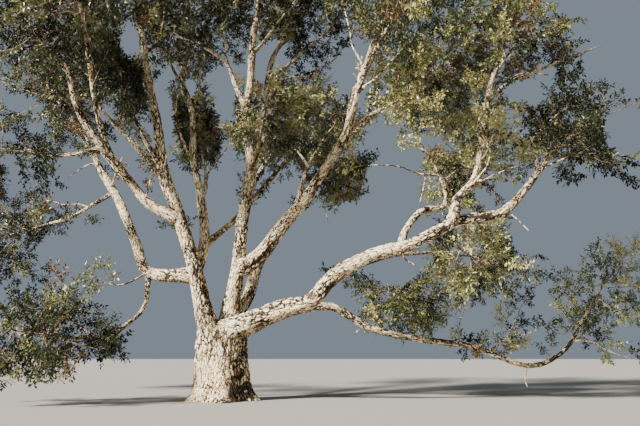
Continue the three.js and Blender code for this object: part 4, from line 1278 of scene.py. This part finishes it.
def plated_bark(name, mossy=False):
    """Old oak bark, corky and weathered: plates and the small scales on them are pale, nearly white, tan
    where they have flaked, and stained brown in patches, with dark seams and fissures between them. The
    colour is painted lighter on the sunny side and darker on the other as painted shade, and is darker
    towards the foot of the bole. It gives the eye pale flecked limbs with dark cracks. Moss adds dull olive
    patches."""
    material, shader = new_material(name, roughness=0.9, specular=0.25)
    link = material.node_tree.links.new
    fissure, plate_tone, painted_shade_and_foot_dark = (
        add_node(material, "ShaderNodeAttribute", {"attribute_name": key}).outputs["Fac"]
        for key in ("fissure", "plate_tone", "painted_shade_and_foot_dark")
    )
    place = add_node(material, "ShaderNodeAttribute", {"attribute_name": "limb_place"}).outputs["Vector"]
    stretched = add_node(material, "ShaderNodeMapping", inputs={"Vector": place, "Scale": STRETCH})
    stretched = stretched.outputs["Vector"]

    # Small scales, whose borders wander
    wander = add_node(material, "ShaderNodeTexNoise", inputs={
        "Vector": place, "Scale": 1000 / WANDER_MM, "Detail": 2.0,
    })
    wandered = add_node(material, "ShaderNodeVectorMath", {"operation": "MULTIPLY_ADD"}, {
        0: wander.outputs["Color"], 1: WANDER_REACH, 2: stretched,
    })
    edges, scales = (
        add_node(material, "ShaderNodeTexVoronoi", {"feature": feature}, {
            "Vector": wandered.outputs["Vector"], "Scale": 1000 / SCALE_MM,
        })
        for feature in ("DISTANCE_TO_EDGE", "F1")
    )
    scale_tone = add_node(material, "ShaderNodeSeparateColor", inputs={"Color": scales.outputs["Color"]})
    flecks, grain, stain = (
        add_node(material, "ShaderNodeTexNoise", inputs={
            "Vector": vector, "Scale": 1000 / size_mm, "Detail": detail, "Roughness": roughness,
        }).outputs["Fac"]
        for vector, size_mm, detail, roughness in (
            (stretched, FLECK_MM, 4.0, 0.66), (stretched, GRAIN_MM, 2.0, 0.5), (place, STAIN_MM, 3.0, 0.6),
        )
    )

    # How light the place is, added up from its parts
    lightness = FLECK_START
    for part, share in (
        (flecks, FLECK_CONTRAST), (scale_tone.outputs["Red"], SCALE_SHARE), (plate_tone, PLATE_SHARE),
        (stain, STAIN_SHARE), (painted_shade_and_foot_dark, PAINTED_SHADE_SHARE),
    ):
        lightness = add_node(material, "ShaderNodeMath", {"operation": "MULTIPLY_ADD"}, {
            0: part, 1: share, 2: lightness,
        }).outputs["Value"]
    plates_colour = ramp(material, lightness, PLATE_COLOURS)

    # Cracks: the furrows of the mesh and the seams between scales, frayed by the grain
    seam = add_node(material, "ShaderNodeMapRange", inputs={
        "Value": edges.outputs["Distance"], "From Min": SEAM_EDGE[0], "From Max": SEAM_EDGE[1],
        "To Min": SEAM_DEPTH[0], "To Max": SEAM_DEPTH[1],
    })
    deep = add_node(material, "ShaderNodeMath", {"operation": "ADD"}, {
        0: fissure, 1: seam.outputs["Result"],
    })
    frayed = add_node(material, "ShaderNodeMath", {"operation": "MULTIPLY_ADD"}, {
        0: grain, 1: CRACK_FRAYING, 2: deep.outputs["Value"],
    })
    crack = add_node(material, "ShaderNodeMapRange", inputs={
        "Value": frayed.outputs["Value"], "From Min": CRACK_EDGE[0], "From Max": CRACK_EDGE[1],
    })
    colour = add_node(material, "ShaderNodeMix", {"data_type": "RGBA"}, {
        "Factor": crack.outputs["Result"], MIX_FIRST: plates_colour, MIX_SECOND: linear(FISSURE_COLOUR),
    }).outputs[MIX_COLOUR]
    if mossy:
        patches = add_node(material, "ShaderNodeTexNoise", inputs={
            "Vector": stretched, "Scale": 1000 / MOSS_MM, "Detail": 3.0,
        })
        cover = add_node(material, "ShaderNodeMapRange", inputs={
            "Value": patches.outputs["Fac"], "From Min": MOSS_EDGE[0], "From Max": MOSS_EDGE[1],
            "To Max": MOSS_COVER,
        })
        colour = add_node(material, "ShaderNodeMix", {"data_type": "RGBA"}, {
            "Factor": cover.outputs["Result"], MIX_FIRST: colour, MIX_SECOND: linear(MOSS_COLOUR),
        }).outputs[MIX_COLOUR]
    link(colour, shader.inputs["Base Color"])
    raised = add_node(material, "ShaderNodeMath", {"operation": "SUBTRACT"}, {
        0: grain, 1: crack.outputs["Result"],
    })
    bump = add_node(material, "ShaderNodeBump", inputs={
        "Height": raised.outputs["Value"], "Strength": BUMP_STRENGTH, "Distance": BUMP_METRES,
    })
    link(bump.outputs["Normal"], shader.inputs["Normal"])
    return material


def mottled(material, shader, size_mm, detail, stops):
    """Gives a material soft patches of that size, through a ramp of colours."""
    place = add_node(material, "ShaderNodeTexCoord").outputs["Object"]
    patches = add_node(material, "ShaderNodeTexNoise", inputs={
        "Vector": place, "Scale": 1000 / size_mm, "Detail": detail,
    })
    colour = ramp(material, patches.outputs["Fac"], stops)
    material.node_tree.links.new(colour, shader.inputs["Base Color"])
    return material


def twig_bark():
    """Young oak bark, smooth and grown dull: a grey-brown skin with paler weathered patches."""
    material, shader = new_material("young_oak_bark_smooth", roughness=0.8, specular=0.3)
    stops = [(0.35, "#5E4C3A"), (0.5, "#8C7A62"), (0.66, "#B9A98E")]
    return mottled(material, shader, TWIG_MOTTLE_MM, 2.0, stops)


def oak_leaf(name, shade, body, glint, roughness, specular):
    """A living oak leaf, tough and waxy: an olive mottled at random from a painted shade tone through its
    body colour to a painted glint. It gives the eye a dull sheen on the lit faces of the sprays and a plain
    deep green in their shade."""
    material, shader = new_material(name, roughness, specular)
    return mottled(material, shader, LEAF_MOTTLE_MM, 1.0, [(0.3, shade), (0.5, body), (0.72, glint)])


OLD_BARK = plated_bark("corky_oak_bark_weathered_painted_shade")
MOSSY_BARK = plated_bark("corky_oak_bark_mossy_painted_shade", mossy=True)
TWIG_BARK = twig_bark()
MOSSY_BOUGHS = ("cross_bough", "middle_front_bough", "right_inner_bough")

# Kinds of leaf: lit and shaded copies of one leaf, with painted light from painted deep shade to painted full
# sun, and last the bronze ones, a real tint
LEAF_KINDS = [
    ("shaded", oak_leaf("oak_leaf_painted_deep_shade", "#0C0F09", "#131910", "#1F2519", 0.6, 0.15)),
    ("dark", oak_leaf("oak_leaf_painted_shade_olive", "#161C11", "#232C1A", "#384029", 0.5, 0.25)),
    ("middle", oak_leaf("oak_leaf_painted_half_shade_olive", "#2D361D", "#424B2A", "#5E663C", 0.42, 0.4)),
    ("lit", oak_leaf("oak_leaf_painted_sunlit_olive", "#505629", "#70763F", "#959863", 0.36, 0.6)),
    ("bright", oak_leaf("oak_leaf_painted_full_sun_olive", "#7E7E41", "#A8A565", "#D2CD9E", 0.36, 0.6)),
    ("bronze", oak_leaf("oak_leaf_bronze", "#463620", "#685131", "#897047", 0.5, 0.3)),
]
BRONZE = len(LEAF_KINDS) - 1


def finish_piece(piece, material, slot, *nodes):
    """Gives a piece its material and body, and hides the solids that it stands for. The slot is not used."""
    piece.data.materials.append(material)
    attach(piece, "root")
    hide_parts(*nodes)
    return piece


# The camera, at the photo's view
camera = bpy.data.objects.new("camera", bpy.data.cameras.new("camera"))
bpy.context.scene.collection.objects.link(camera)
camera.location = CAMERA_PLACE
camera.rotation_euler = (math.pi / 2 + CAMERA_PITCH, 0, 0)
camera.data.lens = LENS_MM
camera.data.sensor_width = SENSOR_MM
camera.data.clip_end = FARTHEST_SEEN
bpy.context.scene.camera = camera

# Trunk, boughs and finer limbs, each with its own salt for its bark
BOLE_SALT = 1
BOUGH_SALT = 2
FINER_SALT = 40
LEAF_NODES = [f"leaves_{name}" for name in BOUGHS]

bole = mesh_piece("bark_trunk", *bole_surface(BOLE_SALT))
finish_piece(bole, OLD_BARK, "bark", "trunk")
for index, name in enumerate(BOUGHS):
    bough = mesh_piece(f"bark_{name}", *limb_surface(name, BOUGH_SALT + index))
    finish_piece(bough, MOSSY_BARK if name in MOSSY_BOUGHS else OLD_BARK, "bark", name)
finer = [
    limb_surface(name, FINER_SALT + index, FINER_GRID_STEP, FINER_COLLAR_SWELL)
    for index, name in enumerate(FINER_LIMBS)
]
finish_piece(mesh_piece("bark_finer_limbs", *joined(finer)), OLD_BARK, "bark", *LEAF_NODES)

# Leaves are dealt out by spray with painted light: a spray that faces the sun is painted lighter, its mass
# adds its painted sun or shade, and each has its own seeded tone
PAINTED_SUN_SHARE = 0.16
MEAN_LIGHT = 0.42
LIGHT_SHARE = 0.85
SPRAY_TONE_SPREAD = 0.26
BRONZE_SHARE = 0.06
LEAVES_PER_PIECE = 45000

twig_tubes = []
stalks = []
leaf_heaps = {kind: [] for kind, _ in LEAF_KINDS}


def light_of(name):
    """How light the leaves of a bough, and of the finer limbs on it, are painted, as painted sun and shade.
    """
    while name in FINER_LIMBS:
        name = FINER_LIMBS[name][0]
    *_, light = BOUGHS[name]
    return MEAN_LIGHT + LIGHT_SHARE * (light - MEAN_LIGHT)


def deal_out(sprays, space, boughlet_count, light, rng):
    """Grows sprays on and deals out what they carry: tubes, stalks, and leaves by kind."""
    tubes, roots, tips, owner = grow_sprays(sprays, space, boughlet_count, rng)
    twig_tubes.extend(tubes)
    stalks.append((roots, tips))
    leaves, sprig = grow_leaves(roots, tips, rng)
    # Painted light: a spray that faces the sun gets a lighter kind of leaf
    facing = np.array([spray[1] for spray in sprays]) @ SUNWARD
    tone = light + PAINTED_SUN_SHARE * facing + rng.normal(0, SPRAY_TONE_SPREAD, len(sprays))
    kind = np.clip((tone * BRONZE).astype(int), 0, BRONZE - 1)
    kind[rng.uniform(0, 1, len(sprays)) < BRONZE_SHARE] = BRONZE
    leaf_kind = kind[owner[sprig]]
    for k, (key, _) in enumerate(LEAF_KINDS):
        leaf_heaps[key].append(leaves[leaf_kind == k])


# Twigs and leaves of every mass
for index, name in enumerate(BOUGHS):
    rng = np.random.default_rng(FIRST_SEED + index)
    space, stem, twigs, sprays = grow_mass(name, FIRST_SEED + SEED_STEP * index)
    more_twigs, more_sprays = ([], []) if name in THIN_MASSES else filling_growth(space, stem, rng)
    _, tip = limb_radii(name)
    (stem_foot, stem_end), places, sides = STEM_TUBE
    line = point_on(stem, np.linspace(0, 1, places))
    twig_tubes.append((line[None], np.linspace(stem_foot * tip, stem_end * tip, places)[None], sides))
    feet = np.array([foot for foot, _ in twigs + more_twigs])
    ends, grows = drawn_back(feet, np.array([end for _, end in twigs + more_twigs]))
    (twig_foot, twig_end), places, sag, sides = TWIG_TUBE
    bowed = bent(feet[grows], ends[grows], (twig_foot * tip, twig_end), places, sag, rng)
    twig_tubes.append((*bowed, sides))
    deal_out(sprays + more_sprays, space, BOUGHLETS, light_of(name), rng)

# Leafy shoots of the limbs
for index, name in enumerate([*BOUGHS, *FINER_LIMBS]):
    if any(word in name for word in LEAFLESS):
        continue
    rng = np.random.default_rng(FIRST_SEED + SEED_STEP + index)
    start = SHOOTS_FROM if name in BOUGHS else FINER_SHOOTS_FROM
    deal_out(limb_shoots(name, start, rng), None, SHOOT_BOUGHLETS, light_of(name), rng)

# Twigs, stalks and leaves joined by kind
twig_parts = [(*many_tubes(line, thick, sides), {}) for line, thick, sides in twig_tubes if len(line)]
points, triangles, _ = joined(twig_parts)
finish_piece(mesh_piece("twigs_and_boughlets", points, triangles), TWIG_BARK, "bark", *LEAF_NODES)
stalk_roots, stalk_tips = (np.vstack(ends) for ends in zip(*stalks))
points, triangles = thin_spikes(stalk_roots, stalk_tips, STALK_RADIUS)
finish_piece(mesh_piece("sprig_stalks", points, triangles), TWIG_BARK, "bark", *LEAF_NODES)
for key, material in LEAF_KINDS:
    leaves = np.concatenate(leaf_heaps[key])
    for number, share in enumerate(np.array_split(leaves, 1 + len(leaves) // LEAVES_PER_PIECE), 1):
        piece = mesh_piece(
            f"leaves_{key}_{number}", share.reshape(-1, 3), leaf_faces(len(share)), smooth=False
        )
        finish_piece(piece, material, "leaves", *LEAF_NODES)

# A plain pale floor, just under the tree's foot
FLOOR_REACH = 400
FLOOR_LEVEL = -0.002
FLOOR_COLOUR = "#94918B"
floor_material, floor_shader = new_material("plain_pale_floor_matt", roughness=0.95, specular=0.1)
floor_shader.inputs["Base Color"].default_value = linear(FLOOR_COLOUR)
floor_corners = [
    (x * FLOOR_REACH, y * FLOOR_REACH, FLOOR_LEVEL) for x, y in ((-1, -1), (1, -1), (1, 1), (-1, 1))
]
floor = mesh_piece("floor", floor_corners, [[0, 1, 2, 3]], smooth=False)
floor.data.materials.append(floor_material)

# Soft studio light: a broad warm key from the front left, and a pale surround
KEY_STRENGTH = 16
KEY_WIDTH = math.radians(6)
KEY_COLOUR = (1.0, 0.95, 0.87)
SURROUND_COLOUR = "#CADAEB"
SURROUND_STRENGTH = 0.36
key_light = bpy.data.objects.new("key_light", bpy.data.lights.new("key_light", "SUN"))
key_light.data.energy = KEY_STRENGTH
key_light.data.angle = KEY_WIDTH
key_light.data.color = KEY_COLOUR
key_light.rotation_mode = "QUATERNION"
key_light.rotation_quaternion = Vector(tuple(SUNWARD)).to_track_quat("Z", "Y")
bpy.context.scene.collection.objects.link(key_light)
surround = bpy.data.worlds.new("pale_surround")
bpy.context.scene.world = surround
surround.use_nodes = True
background = surround.node_tree.nodes["Background"]
background.inputs["Color"].default_value = linear(SURROUND_COLOUR)
background.inputs["Strength"].default_value = SURROUND_STRENGTH
